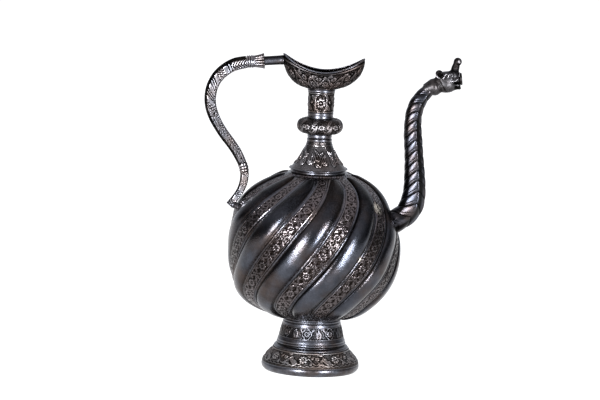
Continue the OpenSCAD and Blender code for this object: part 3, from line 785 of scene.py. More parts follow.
def globe():
    """The two halves of the globe, each a skin and an inner wall; the lower one has a bottom."""
    outer, relief, brown, theta, z = globe_surface()
    for name, node, rows in (
        ("globe_lower_half", "globe_lower", slice(0, globe_rows + 1)),
        ("globe_upper_half", "globe_upper", slice(globe_rows, None)),
    ):
        skin = outer[rows]
        inside = np.linspace(len(skin) - 1, 0, 14).astype(int)
        lowest = node == "globe_lower"
        inner_z = z[rows][inside]
        if lowest:
            inner_z = np.maximum(inner_z, globe_bottom + wall)
        inner_r = np.maximum(globe_radius(np.clip(inner_z, globe_bottom, crown)) - wall - 2.6, 4)
        inner_theta = theta[rows][inside]
        inner = turned_points(inner_r[:, None], inner_theta, np.repeat(inner_z[:, None], theta.shape[1], 1),
                              lean_at(inner_z)[:, None])
        if lowest:
            to_axis = np.array([0.02, 0.02, 1])
            inner = np.concatenate([inner, inner[-1:] * to_axis, skin[:1] * to_axis])
        tone = np.concatenate([relief[rows], np.full(inner.shape[:2], 0.15)])
        piece = grid_piece(name, np.concatenate([skin, inner]), [node], "globe_metal", tone, sharp=60)
        point_values(piece.data, "brown", np.concatenate([brown[rows], np.zeros(inner.shape[:2])]))


globe()


# ---------------------------------------------------------------- mouth
keel_start_a, keel_start_b, keel_rise, keel_fullness = 14.0, 13.4, 27.5, 1.75
wire_h = 1.2
bowl_lean = math.radians(1.5)
bowl_settle = 0.5
bore_r = 10.5
rim_low_edge = rim_low + wire_h
bowl_a, bowl_b = bowl_half_length - 0.3, bowl_half_width - 0.3
bowl_columns, bowl_rows, bowl_inner_rows, wire_columns = 420, 64, 26, 12


def rim_z(angle):
    """Height of the mouth's edge, which dips at its two sides."""
    return rim_low_edge + (rim_high - rim_low_edge) * np.cos(angle) ** 2


def bowl_share(z):
    """How far up the bowl a height is: 1 at the lowest place of its edge."""
    return np.clip((z - bowl_bottom) / (rim_low_edge - bowl_bottom), 0, 1)


def bowl_ring(rise, angle, inset=0.0, drop=wire_h, start=bowl_bottom):
    """Ring of the boat-shaped bowl at a share of its rise, inset from its outside by inset."""
    z = start + rise * (rim_z(angle) - drop - start)
    left = np.clip(1 - (z - bowl_bottom) / keel_rise, 0, 1)
    a = keel_start_a + (bowl_a - keel_start_a) * (1 - left ** keel_fullness) ** (1 / keel_fullness)
    b = keel_start_b + (bowl_b - keel_start_b) * bowl_share(z)
    return np.stack([(a - inset) * np.cos(angle), (b - inset) * np.sin(angle), z], -1)


def lean_bowl(rows):
    """The bowl sits a little down towards the spout, as it was soldered by hand."""
    rise = bowl_share(rows[..., 2])
    leaned = rows.copy()
    leaned[..., 2] -= (math.tan(bowl_lean) * rows[..., 0] + bowl_settle) * rise
    leaned[..., 0] += (math.tan(bowl_lean) * (rows[..., 2] - bowl_bottom)) + bowl_settle * rise
    return leaned


def bowl_ornament(chase, around, repeats=12):
    """Leafy scrolls and flowers all round the outside of the bowl."""
    gap = around / repeats
    for k in range(repeats):
        at = around * k / repeats
        vine = [(at + gap * t, 10 + 4.2 * math.sin(2 * math.pi * t)) for t in np.linspace(0, 1, 15)]
        chase.stem(vine, 0.45, 0.4)
        chase.rosette(at + 0.25 * gap, 7.2, 3.0, 7, 0.3 * k, 0.6)
        chase.rosette(at + 0.75 * gap, 12.4, 2.6, 6, 0.4 * k, 0.55)
        for turn, share, up, size in (
            (1.1, 0.1, 10.5, 6), (2.2, 0.5, 10, 6), (-0.9, 0.55, 9.5, 6.5), (-2.1, 0.98, 9, 6.5),
            (0.5, 0.3, 14.5, 5), (2.7, 0.62, 4.4, 5), (0.6, 0.0, 3.6, 5), (2.4, 0.4, 2.6, 4),
        ):
            chase.leaf(at + share * gap, up, turn, size, 1.35, 0.35 if k % 2 else -0.35, 0.5)
        chase.curl(at + 0.45 * gap, 15.6, 1.8, 0.3, -1, 0.42, 0.42)


def vertex_normals(rows):
    """Smooth normals of a grid of points that closes round its columns."""
    right = np.roll(rows, -1, 1) - np.roll(rows, 1, 1)
    up = np.gradient(rows, axis=0)
    normal = np.cross(right, up)
    return normal / np.linalg.norm(normal, axis=2, keepdims=True)


def mouth():
    """The chased bowl with its bore down to the tube, and the wire along its edge."""
    angle = circle(bowl_columns)
    rises = np.linspace(0, 1, bowl_rows) ** 1.4
    skin = np.stack([bowl_ring(rise, angle) for rise in rises])
    waist = skin[bowl_rows // 2]
    arc = np.cumsum(np.linalg.norm(np.diff(waist, axis=0, prepend=waist[:1]), axis=1))
    up = np.cumsum(np.linalg.norm(np.diff(skin, axis=0, prepend=skin[:1]), axis=2), axis=0)
    around = arc[-1] + 0.2
    chase = Chase(np.repeat(arc[None, :], bowl_rows, 0), up / up[-1][None, :] * 20, around)
    bowl_ornament(chase, around)
    chase.grain(0.05, 36)
    for at in (18.6, 1.0):
        chase.bead(at, 0.5, 0.35)
    chase.h[-3:] *= 0.3
    skin = skin + chase.h[..., None] * vertex_normals(skin)
    inside = (np.linspace(1, 0, bowl_inner_rows)) ** 1.4
    inner = np.stack([bowl_ring(rise, angle, wall, wire_h, bowl_bottom + wall) for rise in inside])
    bore = turned_points(bore_r, angle, np.full(bowl_columns, bowl_bottom + wall))
    bore_low = bore - np.array([0, 0, wall])
    rows = np.concatenate([bore_low[None], skin, inner, bore[None]])
    # painted shade: the bore and the inside of the bowl are black
    tone = np.concatenate([np.zeros((1, bowl_columns)), chase.tone(0.5, 0.14),
                           np.zeros((bowl_inner_rows + 1, bowl_columns))])
    grid_piece("mouth_chased_bowl", lean_bowl(rows), ["mouth_bowl"], "bowl_metal", tone)

    wire = [bowl_ring(1.0, angle, wall / 2 - 0.15 - 1.0 * math.cos(turn), 0.62 - 0.66 * math.sin(turn))
            for turn in circle(wire_columns)]
    grid_piece("mouth_rim_wire", lean_bowl(np.stack(wire)), ["mouth_rim"], "polished_metal",
               np.full((wire_columns, bowl_columns), 0.95))


mouth()


# ---------------------------------------------------------------- handle and spout lines
def smooth_line(line, steps=24):
    """Smooth curve through the points of a line, with steps points to each stretch."""
    line = np.array(line, float)
    padded = np.vstack([2 * line[0] - line[1], line, 2 * line[-1] - line[-2]])
    out = []
    for i in range(len(line) - 1):
        a, b, c, d = padded[i:i + 4]
        for t in np.arange(steps) / steps:
            out.append(0.5 * (2 * b + (c - a) * t + (2 * a - 5 * b + 4 * c - d) * t * t
                              + (3 * b - a - 3 * c + d) * t ** 3))
    return np.array(out + [line[-1]])


def even_line(line, step):
    """Points step apart along a smooth line: place along it, x, z, width, and the direction's x and z."""
    fine = smooth_line(line)
    along = run(fine[:, 0], fine[:, 1])
    s = np.linspace(0, along[-1], max(4, int(along[-1] / step)))
    x, z, width = (np.interp(s, along, fine[:, i]) for i in range(3))
    for values in (x, z) * 3:
        values[1:-1] = (values[:-2] + 2 * values[1:-1] + values[2:]) / 4
    dx, dz = np.gradient(x, s), np.gradient(z, s)
    size = np.hypot(dx, dz)
    return s, x, z, width, dx / size, dz / size


def swept(x, z, dx, dz, across, side):
    """Grid of points: across is measured square to the line in its plane, side along y."""
    return np.stack([x[:, None] - dz[:, None] * across, side, z[:, None] + dx[:, None] * across], -1)


bow_line = [
    [-75.4, 307.7, 11.6], [-86.7, 304.9, 12.3], [-95.7, 299.8, 12.2], [-103.4, 292.3, 12],
    [-108.4, 283, 11.8], [-110.4, 273.5, 11.5], [-110, 263.3, 11.2], [-107.2, 254, 10.8],
    [-102.7, 245, 10.4], [-96, 234.9, 10], [-88.8, 226, 9.7], [-82.9, 218, 9.4],
    [-78.4, 210.3, 9], [-76, 205.4, 8.8]
]
collar_line = [[-76, 205.4, 8.8], [-74.4, 201.2, 8.6], [-73.7, 197.2, 8.4]]
tail_line = [
    [-73.7, 197.2, 8.4], [-73.4, 194, 8.3], [-74.2, 186, 8], [-77.1, 177.8, 7.5],
    [-81.6, 170.6, 7.1], [-87.5, 163, 6.9]
]
bar_depth = 0.8
group_pitch, bead_pitch = 11.8, 2.4
curls_from, curl_step, curl_rows = 70, 1.15, (-1.7, 0.6, 2.9)


def bar_outline(columns):
    """Chamfered section of the bar as shares of its half height and half depth, wider on the outer side."""
    corners = np.array([[1, .6], [.78, 1], [-.54, 1], [-1, .45], [-1, -.45], [-.54, -1], [.78, -1], [1, -.6]])
    closed = np.vstack([corners, corners[:1]])
    along = np.concatenate([[0], np.cumsum(np.linalg.norm(np.diff(closed, axis=0), axis=1))])
    s = np.linspace(0, along[-1], columns, endpoint=False)
    flat = np.stack([np.interp(s, along, closed[:, i]) for i in range(2)], -1)
    return (np.roll(flat, 1, 0) + 2 * flat + np.roll(flat, -1, 0)) / 4


def oblique_groups(s, t):
    """Upper length of the bar: plain patches between slanting groups of lines and of zigzag punch marks."""
    lean = 0.15 + 0.95 * smooth_step(s, 22, 50)
    slanted = s - lean * (t + 1.5)
    group = slanted / group_pitch
    place, number = (group % 1) * group_pitch, np.floor(group)
    lines = np.maximum.reduce([np.exp(-((place - at) / 0.85) ** 4) for at in (1.3, 4.2, 7.1)])
    zigzag = np.maximum.reduce([np.exp(-((place - at - np.sin(t * 2.6)) / 0.75) ** 4)
                                for at in (1.8, 4.7, 7.6)])
    feather = (0.5 + 0.5 * np.cos(2 * np.pi * (s + 0.9 * np.abs(t - 1)) / 2.9)) ** 1.3
    return np.where(s < 15, feather, np.where(number % 3 == 2, zigzag, lines))


def lattice(s, t):
    """Lower length of the tail: crossing lines in patches."""
    crossed = np.maximum(np.cos(2 * np.pi * (s - t) / 2.3), np.cos(2 * np.pi * (s + t) / 2.3)) ** 4
    return crossed * smooth_step(np.cos(2 * np.pi * s / 11.5), -0.5, 0.1)


def punched_curls(s, t):
    """Lower length of the bar: small curls punched closely in three rows."""
    small = Chase(s, t)
    local = np.random.default_rng(17)
    for at in np.arange(curls_from - 6, s[-1, 0] - 1, curl_step):
        for off in curl_rows:
            spot = at + local.uniform(-0.5, 0.5), off + local.uniform(-0.6, 0.6)
            small.curl(*spot, local.uniform(0.9, 1.6), local.uniform(0, 6.3), 1, 0.42, 1.0, 4.0)
    return 0.5 * (1 - small.h)


def bar_piece(name, line, node, tail=False, columns=96):
    """Chamfered bar along a line, engraved on its two side faces and beaded along its inner edge."""
    s, x, z, width, dx, dz = even_line(line, 0.33)
    flat = bar_outline(columns)
    half = width[:, None] / 2
    across, side = flat[None, :, 0] * half, flat[None, :, 1] * half * bar_depth
    place = np.repeat(s[:, None], columns, 1)
    on_face = smooth_step(np.abs(flat[None, :, 1]), 0.93, 0.985)
    if tail:
        cut = lattice(place, across)
    else:
        cut = np.where(place < curls_from, oblique_groups(place, across), punched_curls(place, across))
    cut = cut * on_face
    rim = bump(flat[None, :, 0], 0.78, 0.09) + bump(flat[None, :, 0], -0.54, 0.08)
    beads = (0.5 + 0.5 * np.cos(2 * np.pi * place / bead_pitch)) ** 2
    beads = beads * smooth_step(flat[None, :, 0], 0.62, 0.76)
    away = smooth_step(-flat[None, :, 0], 0.54, 0.62)
    dents = 0.12 * np.sin(s / 9.0 + 1)[:, None] + 0.08 * np.sin(s / 3.7)[:, None]
    shrink = 1 - (0.38 * cut + 0.15 * rim - 0.3 * beads - dents * 0.5) / half
    # the outer chamfer is black round the top of the bow and less dark lower down
    low_down = np.ones((1, 1)) if tail else smooth_step(s, 36, 70)[:, None]
    worn = 0.8 if tail else 0.5 + 0.3 * smooth_step(s, 78, 52)[:, None]
    tone = np.clip(worn - 1.5 * cut - 0.35 * rim * on_face - (0.95 - 0.6 * low_down) * away
                   - (0.4 - 0.2 * low_down) * (1 - on_face) + 0.9 * beads, 0, 1)
    grid_piece(name, swept(x, z, dx, dz, across * shrink, side * shrink), [node], "handle_metal", tone,
               looped=False, sharp=32)


bar_piece("handle_chased_bow", bow_line, "handle_bow")
bar_piece("handle_chased_tail", tail_line, "handle_tail", tail=True)


def lathe(name, node, slot, at, direction, profile, tone=0.7, columns=96, flutes=None, gaps=None,
          rubbed_and_painted_sheen=False):
    """Solid turned piece on its own straight axis from a profile of (along, radius) points.

    flutes are their number, depth and where they end; gaps is the radius under which the metal is dark;
    with rubbed set, the piece has a painted reflection, bright on its two sides and dark above and below.
    """
    fine = smooth_line([[a, b, 0] for a, b in profile], 8)[:, :2]
    turn = circle(columns)
    axis = np.array(direction, float) / np.linalg.norm(direction)
    side = np.array([0.0, 1.0, 0.0])
    other = np.cross(axis, side)
    radius = fine[:, 1][:, None] * np.ones(columns)
    relief = np.full(radius.shape, tone)
    # painted reflection: bright on the two sides, dark above and below
    if rubbed_and_painted_sheen:
        relief = relief * (0.1 + 0.9 * np.abs(np.cos(turn)) ** 6)[None, :]
    if gaps:
        relief = relief - 0.85 * smooth_step(radius, gaps, gaps - 0.6)
    if flutes:
        number, deep, until = flutes
        wave = np.abs(np.cos(number * turn / 2))[None, :] ** 0.8
        on = smooth_step(fine[:, 0], until, until - 1.5)[:, None]
        radius = radius - deep * on * (1 - wave)
        relief = relief - 0.9 * on * (1 - wave)
    rows = (np.array(at)[None, None, :] + fine[:, 0][:, None, None] * axis
            + radius[..., None] * (np.cos(turn)[None, :, None] * side + np.sin(turn)[None, :, None] * other))
    grid_piece(name, rows, [node], slot, np.clip(relief, 0, 1), looped=False, sharp=35)


rod_turn = math.radians(95.5)
rod_direction = (-math.sin(rod_turn), 0, math.cos(rod_turn))
ferrule_at = (-58.3, 0, 309.3)
# the plain rod carries a painted reflection
lathe("handle_plain_rod", "handle_rod", "polished_metal", ferrule_at, rod_direction,
      [(-19.6, 0.5), (-19.6, 4.5), (-15, 4.6), (-8, 4.6), (0, 4.5), (6.8, 4.5), (6.8, 0.5)],
      0.75, rubbed_and_painted_sheen=True)
lathe("handle_leaf_ferrule", "handle_ferrule", "handle_metal", ferrule_at, rod_direction,
      [(0.5, 4.5), (-0.4, 6.8), (0.2, 7.9), (1.6, 7.4), (4, 6.8), (7, 6.3), (9.5, 5.9), (10.9, 5.8), (11, 1)],
      0.62, flutes=(14, 1.2, 10))
lathe("handle_ferrule_three_rings", "handle_ferrule_rings", "handle_metal", ferrule_at, rod_direction,
      [(10.9, 0.5), (11, 5.5), (11.4, 6.2), (12.1, 6.5), (12.8, 6.2), (13.2, 5.4), (13.7, 6.2), (14.4, 6.4),
       (15.1, 6.2), (15.5, 5.4), (15.9, 6.2), (16.5, 6.3), (17, 6.0), (17.3, 5.5), (17.5, 0.5)],
      0.85, gaps=6.2)
stud_turn = math.radians(111.5)
lathe("handle_tail_stud", "handle_stud", "polished_metal", (-84.4, 0, 164),
      (math.sin(stud_turn), 0, math.cos(stud_turn)),
      [(0.1, 0.4), (0.1, 3.5), (4, 3.4), (8, 3.5), (11.6, 3.5), (11.6, 0.4)])


def collar_rings(columns=72):
    """Three rings round the bar above its tail."""
    s, x, z, width, dx, dz = even_line(collar_line, 0.16)
    turn = circle(columns)
    ring = np.abs(np.sin(3 * np.pi * (s / s[-1])))[:, None]
    swell = 0.75 * ring ** 0.7 - 0.15
    across = np.cos(turn)[None, :] * (width[:, None] / 2 + swell)
    side = np.sin(turn)[None, :] * (width[:, None] / 2 * bar_depth + swell)
    tone = 0.3 + 0.65 * ring * np.ones((1, columns))
    grid_piece("handle_three_collar_rings", swept(x, z, dx, dz, across, side), ["handle_collar_rings"],
               "handle_metal", tone, looped=False, sharp=70)


collar_rings()


# ---------------------------------------------------------------- spout
root_r = 12
spout_line = [
    [72.5, 149.5, 2 * root_r], [81.5, 155.2, 2 * root_r], [89.4, 161.2, 24], [94.8, 171, 24.8],
    [96.9, 185.4, 23.4], [96, 206, 20.8], [94.3, 226.2, 19.4], [92.5, 246.3, 18.4], [92.9, 261.4, 17.2],
    [95.9, 272.3, 16.3], [100.6, 280.2, 15], [107.4, 288.3, 13.4]
]
ridge_turn = math.radians(71)  # where the ridge runs, from the spout's outer side
chevron_pitch, root_pitch = 10.3, 13.0
chevron_rise = math.radians(34)


def spout_section(away):
    """Radius of the spout's section as a share of its half width: two flat flanks that meet in a ridge."""
    flanks = [(ridge_turn + math.radians(30), 0.93), (ridge_turn - math.radians(34), 0.9)]
    full = 1 + 0.07 * bump(away, ridge_turn, math.radians(20))
    shape = full
    for turn, reach in flanks:
        facing = np.cos(away - turn)
        flat = np.where(facing > 0.3, reach / np.maximum(facing, 0.3), 9)
        shape = np.minimum(shape, flat)
    return full + (shape - full) * np.where(away > ridge_turn, 0.5, 0.9)


def spout(columns=192):
    """The whole herringbone spout with its bore: chevrons that meet in a ridge on each side."""
    s, x, z, width, dx, dz = even_line(spout_line, 0.36)
    turn = np.linspace(-np.pi, np.pi, columns, endpoint=False)
    radius = width[:, None] / 2
    away = np.abs(turn)[None, :]
    steep = math.tan(chevron_rise)
    rise_out = radius * ridge_turn * steep
    fall_in = radius * (np.pi - ridge_turn) * steep
    inside = (away - ridge_turn) / (np.pi - ridge_turn)
    rise = np.where(away < ridge_turn, rise_out * (away / ridge_turn), rise_out - fall_in * inside)
    pitch_here = chevron_pitch + (root_pitch - chevron_pitch) * smooth_step(s, 60, 20)
    count = np.cumsum(np.gradient(s) / pitch_here)
    place = np.interp(s[:, None] - rise, s, count)
    lobe = np.abs(np.sin(np.pi * place))
    line = np.exp(-(((place + 0.5) % 1 - 0.5) * chevron_pitch / 0.32) ** 2)
    stroke = np.exp(-((place % 1 - 0.3) * chevron_pitch / 0.5) ** 2) * (away > ridge_turn)
    ridge = bump(away, ridge_turn, math.radians(7))
    ends = smooth_step(s, s[-1], s[-1] - 4)[:, None]
    share = 1 + (spout_section(away) - 1) * smooth_step(s, 8, 24)[:, None] * (0.25 + 0.75 * ends)
    lift = ends * (0.62 * (lobe ** 0.6 - 0.78) - 0.35 * line - 0.15 * stroke)
    lift = lift + 0.1 * np.sin(s / 5.3 + 2)[:, None]
    # painted shade darkens the flank on the outer side of the ridge, short of its outermost edge
    shaded = (smooth_step(away, ridge_turn - 0.04, ridge_turn - 0.18)
              * smooth_step(away, math.radians(28), math.radians(48)))
    # painted highlights along the ridge and its inner side, and painted reflections on the facets' outer
    # edges
    ridge_side_painted_highlight = bump(away - ridge_turn, math.radians(9), math.radians(6))
    edge_painted_reflection = smooth_step(away, math.radians(46), math.radians(24))
    tone = 0.36 + 0.16 * lobe + 0.3 * ridge + 0.4 * ridge_side_painted_highlight + 0.5 * edge_painted_reflection * lobe
    tone = np.clip(tone * (1 - 0.8 * shaded) - 0.9 * line - 0.3 * stroke, 0, 1)
    out = 0.975 * radius * share + lift
    skin = swept(x, z, dx, dz, -np.cos(turn)[None, :] * out, -np.sin(turn)[None, :] * out)
    picks = np.linspace(len(s) - 1, 0, 60).astype(int)
    bore = (radius - wall - 1.0)[picks]
    inner = swept(x[picks], z[picks], dx[picks], dz[picks],
                  -np.cos(turn)[None, :] * bore, -np.sin(turn)[None, :] * bore)
    tones = np.concatenate([tone, np.full(inner.shape[:2], 0.1)])
    grid_piece("spout_herringbone", np.concatenate([skin, inner]), ["spout_root", "spout_tube", "spout_neck"],
               "spout_metal", tones, sharp=60)


spout()


# ---------------------------------------------------------------- head, jaw and trunk, cast in one
# Each field gives how far points lie outside a shape, and is negative inside it.
def ball(p, centre, radius):
    """Distance to a ball."""
    return np.linalg.norm(p - np.array(centre), axis=-1) - radius


def pod(p, a, b, ra, rb):
    """Distance to a rod between a and b whose radius goes from ra to rb."""
    a, b = np.array(a, float), np.array(b, float)
    d = b - a
    t = np.clip(((p - a) @ d) / (d @ d), 0, 1)
    return np.linalg.norm(p - a - t[..., None] * d, axis=-1) - (ra + t * (rb - ra))


def egg(p, centre, radii, tilt):
    """Ellipsoid whose first axis rises by tilt degrees towards +X."""
    c, s = math.cos(math.radians(tilt)), math.sin(math.radians(tilt))
    q = p - np.array(centre)
    q = np.stack([(q[..., 0] * c + q[..., 2] * s), q[..., 1], (-q[..., 0] * s + q[..., 2] * c)], -1)
    radii = np.array(radii, float)
    k0 = np.linalg.norm(q / radii, axis=-1)
    k1 = np.linalg.norm(q / radii ** 2, axis=-1) + 1e-9
    return k0 * (k0 - 1) / k1


def melt(a, b, soft):
    """Joins two shapes with a fillet about soft wide."""
    h = np.clip(0.5 + 0.5 * (b - a) / soft, 0, 1)
    return b + (a - b) * h - soft * h * (1 - h)


def carve(a, b, soft):
    """Cuts b out of a."""
    return -melt(-a, b, soft)


def line_of(p, path, radius):
    """Rod along a bent path."""
    return np.minimum.reduce([pod(p, a, b, radius, radius) for a, b in zip(path[:-1], path[1:])])


def folded(p):
    """Both halves of the head are alike."""
    return np.stack([p[..., 0], np.abs(p[..., 1]), p[..., 2]], -1)


def throat(p):
    """The bore through the head, in two lengths."""
    bend = (118, 0, 291.7)
    return pod(p, (100, 0, 284.4), bend, 4.4, 4.4), pod(p, bend, (146, 0, 301.5), 4.4, 4.6)


def head_field(p):
    """Throat bulb, cheeks, skull, trunk and beard, less the open mouth, the eye sockets and the bore."""
    q = folded(p)
    body = egg(q, (111.9, 0, 290.1), (7.2, 7.9, 8.7), 24)
    collar = pod(q, (104.9, 0, 287.4), (106.6, 0, 288.2), 6.4, 6.9)
    cheek = egg(q, (123.4, 0, 293.2), (10, 7.8, 8.3), 12)
    chin = pod(q, (128, 0, 291.6), (134.6, 0, 292.9), 5.2, 3.6)
    skull = pod(q, (119.2, 0, 298.6), (130.4, 0, 301.2), 6.6, 5.6)
    brow = pod(q, (120.5, 3.4, 303), (129.5, 2.8, 304.6), 2.6, 2.2)
    root = pod(q, (131.2, 0, 303.2), (132.2, 0, 310), 5.2, 3.6)
    trunk = pod(q, (132.2, 0, 310), (133.6, 0, 315.4), 3.7, 3.4)
    tip = ball(q, (134.3, 0, 316.5), 4.1)
    beard = pod(q, (132, 0, 291.6), (137.4, 0, 289.9), 3.0, 1.3)
    for part, soft in ((cheek, 2.2), (collar, 2.2), (chin, 3.0), (skull, 3.0), (brow, 1.6), (root, 2.6),
                       (trunk, 1.5), (tip, 0.9), (beard, 1.6)):
        body = melt(body, part, soft)
    gape = pod(q, (133.6, 0, 297.2), (146, 0, 299.4), 1.6, 5.6)
    curl_notch, socket = ball(q, (136.2, 3.4, 313.9), 1.3), ball(q, (127.4, 6.9, 302.6), 1.5)
    back, front = throat(q)
    for hole, soft in ((gape, 0.7), (curl_notch, 0.4), (socket, 0.6), (back, 0.3), (front, 0.3)):
        body = carve(body, hole, soft)
    return body


def ear_field(p):
    """Round cupped ear that stands out from the head, open towards the front."""
    q = folded(p)
    centre = np.array([116.6, 6.4, 303])
    out = np.array([0.08, 0.92, 0.36])
    out = out / np.linalg.norm(out)
    d = q - centre
    along = d @ out
    round_ = np.linalg.norm(d - along[..., None] * out, axis=-1)
    shell = np.hypot(round_ - 2.9, along) - 0.95
    cup = np.maximum(round_ - 2.9, np.abs(along + 1.3) - 0.7)
    brink = centre + out * 0.6
    open_front = pod(q, brink + np.array([2.6, 0, 0.4]), brink + np.array([5.5, 0, 0.8]), 0.8, 1.6)
    return carve(melt(shell, cup, 0.5), open_front, 0.3)


def eye_field(p):
    """Raised ring with a small ball in it."""
    q = folded(p)
    ring = np.abs(np.hypot(q[..., 0] - 127.4, (q[..., 2] - 302.6) * 1.1) - 2.0)
    ring = np.hypot(ring, q[..., 1] - 5.7) - 0.42
    return np.minimum(ring, ball(q, (127.4, 5.6, 302.6), 0.8))


def brow_field(p):
    """Curling brow: a stroke that rises from the cheek, bends over and forks above the eye."""
    q = folded(p)
    stroke = [(120.3, 7.3, 299.6), (121.4, 7.1, 301.5), (122.4, 6.6, 303.4), (123.8, 5.9, 304.4)]
    fork = [(124.7, 7.1, 300.8), (125.6, 6.7, 302.8), (127.4, 5.6, 304.2)]
    return np.minimum(line_of(q, stroke, 0.5), line_of(q, fork, 0.42))


def lip_field(p):
    """Raised line of the upper lip, which turns up the trunk, with three teeth under it."""
    q = folded(p)
    upper = [(124.4, 7.6, 296.8), (127.5, 7.4, 297.1), (130.8, 6.4, 298), (132.7, 5.6, 297.3),
             (134.3, 4.7, 299), (135.4, 4.1, 300.8), (136.3, 3.4, 303.2), (136.6, 2.6, 305.4)]
    teeth = [ball(q, (126.4 + 2 * k, 7.3 - 0.35 * k, 296.4), 0.5) for k in range(3)]
    return melt(line_of(q, upper, 0.42), np.minimum.reduce(teeth), 0.3)


def outlet_field(p):
    """Round lip of the outlet between the jaws, with its short pipe."""
    lean_x = p[..., 0] - 138.3 + 0.12 * (p[..., 2] - 299.4)
    ring = np.hypot(np.hypot(p[..., 1], p[..., 2] - 299.4) - 5.0, lean_x) - 1.2
    pipe_wall = np.abs(np.hypot(p[..., 1], p[..., 2] - 299.2) - 4.5) - 0.55
    pipe_length = np.abs(p[..., 0] - 134.6) - 3.6
    return np.minimum(ring, np.maximum(pipe_wall, pipe_length))


def surface_net(field, low, high, step):
    """Smooth closed mesh of where a field is zero: one vertex in each cell it passes through."""
    axes = [np.arange(a, b + step, step) for a, b in zip(low, high)]
    grid = np.stack(np.meshgrid(*axes, indexing="ij"), -1)
    f = field(grid)
    shape = np.array(f.shape) - 1
    total, hits = np.zeros((*shape, 3)), np.zeros(shape)
    for axis in range(3):
        others = [k for k in range(3) if k != axis]
        for first in (0, 1):
            for second in (0, 1):
                corner = [0, 0, 0]
                corner[others[0]], corner[others[1]] = first, second
                a = f[tuple(slice(c, c + n) for c, n in zip(corner, shape))]
                corner[axis] = 1
                b = f[tuple(slice(c, c + n) for c, n in zip(corner, shape))]
                cross = (a < 0) != (b < 0)
                place = np.zeros((*shape, 3))
                place[..., others[0]], place[..., others[1]] = first, second
                place[..., axis] = np.where(cross, a / np.where(cross, a - b, 1), 0)
                total += place * cross[..., None]
                hits += cross
    used = hits > 0
    number = np.full(used.shape, -1)
    number[used] = np.arange(used.sum())
    cells = np.argwhere(used)
    verts = np.array(low) + step * (cells + total[used] / hits[used][:, None])
    quads = []
    for axis in range(3):
        b, c = (axis + 1) % 3, (axis + 2) % 3
        here = [slice(1, None)] * 3
        here[axis] = slice(None, -1)
        there = list(here)
        there[axis] = slice(1, None)
        inside, beyond = f[tuple(here)] < 0, f[tuple(there)] < 0
        cells = np.argwhere(inside != beyond)
        rising = inside[inside != beyond]
        cells = cells + np.array([0 if k == axis else 1 for k in range(3)])
        keep = (cells < shape).all(1)
        cells, rising = cells[keep], rising[keep]
        eb, ec = np.eye(3, dtype=int)[b], np.eye(3, dtype=int)[c]
        ring = np.stack([number[tuple((cells - x).T)] for x in (eb + ec, ec, np.zeros(3, int), eb)], -1)
        quads.append(np.where(rising[:, None], ring, ring[:, ::-1]))
    quads = np.concatenate(quads)
    quads = quads[(quads >= 0).all(1)]
    for _ in range(2):
        value, slope = field(verts), gradient(field, verts)
        verts = verts - np.clip(value, -0.3, 0.3)[:, None] * slope
    return verts, quads


def gradient(field, verts, reach=0.05):
    """Direction in which a field rises fastest."""
    slope = np.stack([field(verts + reach * e) - field(verts - reach * e) for e in np.eye(3)], -1)
    return slope / (np.linalg.norm(slope, axis=1, keepdims=True) + 1e-9)


def head_tone_and_painted_light(p):
    """Even tone, darker towards the top, with painted shade in the crease behind the cheeks and black painted
    shade on the beard and in the trunk's curl, and one painted highlight on top.
    """
    q = folded(p)
    wear_and_painted_light = 0.26 - 0.04 * smooth_step(p[:, 2], 298, 301) - 0.07 * smooth_step(p[:, 2], 304, 308)
    # painted shade in the crease between the bulb and the cheek
    joint = 0.86 * (p[:, 0] - 118.5) + 0.52 * (p[:, 2] - 295.5)
    wear_and_painted_light = wear_and_painted_light - 0.13 * bump(joint, 0, 0.8)
    # painted shade: black in the trunk's curl and under the chin on the beard
    wear_and_painted_light = np.where((ball(q, (136.0, 3.6, 313.9), 1.7) < 0) | ((p[:, 2] < 292.6) & (p[:, 0] > 132)), 0, wear_and_painted_light)
    # painted highlight near the trunk's tip
    wear_and_painted_light = np.where(ball(q, (135.9, 3.0, 317), 1.9) < 0, 0.75, wear_and_painted_light)
    return wear_and_painted_light


def ear_tone_and_painted_highlight(p):
    """A painted highlight makes the lower back of each rim the brightest."""
    return 0.14 + 0.8 * smooth_step((p[:, 0] - 116.6) + (p[:, 2] - 303), -1.9, -3.0)


def net_piece(name, field, low, high, nodes, step, bright=0.45, dark=0.9, deep=None, tone_with_painted_light=None):
    """Piece of the head between two corners of a box: bright or as its tone function says, with painted shade
    in its hollows.

    Where deep is negative, and in the bore, it is black: painted shade.
    """
    verts, quads = surface_net(field, low, high, step)
    # painted shade: darker where a point a little way out from the surface is still close to it, as in
    # hollows
    out = verts + 1.6 * gradient(field, verts)
    hollow = np.clip(1 - field(out) / 1.6, 0, 1)
    tone = np.clip((tone_with_painted_light(verts) if tone_with_painted_light else bright) - dark * hollow, 0, 1)
    # painted shade: black where deep is negative and inside the bore
    if deep:
        tone = np.where(deep(verts) < 0, 0.0, tone)
    for hole in throat(verts):
        tone = np.where(hole < 0.15, 0.0, tone)
    return finish_piece(make_mesh(name, verts, quads.tolist(), tone, sharp=70), nodes, "head_metal")


net_piece("dragon_cast_head", head_field, (101, -9, 281), (141.5, 9, 322.5),
          ["dragon_head", "dragon_jaw", "dragon_snout"], 0.42, dark=0.45, tone_with_painted_light=head_tone_and_painted_light)
# the ears get a painted highlight on each rim's lower back, and black painted shade inside each cup
net_piece("dragon_cupped_ears", ear_field, (111, -10, 297), (122, 10, 308), ["dragon_ears"], 0.3,
          tone_with_painted_light=ear_tone_and_painted_highlight, deep=lambda p: ball(folded(p), (116.8, 6.2, 302.9), 2.5))
net_piece("dragon_ringed_eyes", eye_field, (119, -8, 298), (130, 8, 305.5), ["dragon_eyes"], 0.24, 0.45)
net_piece("dragon_brows", brow_field, (118, -9, 297), (130, 9, 306.5), [], 0.24, 1.0)
net_piece("dragon_lips", lip_field, (123, -9, 295), (139, 9, 306.5), [], 0.24, 0.95)
net_piece("dragon_outlet_ring", outlet_field, (130, -7.5, 292), (141.5, 7.5, 307), ["outlet_ring"], 0.32, 0.2)


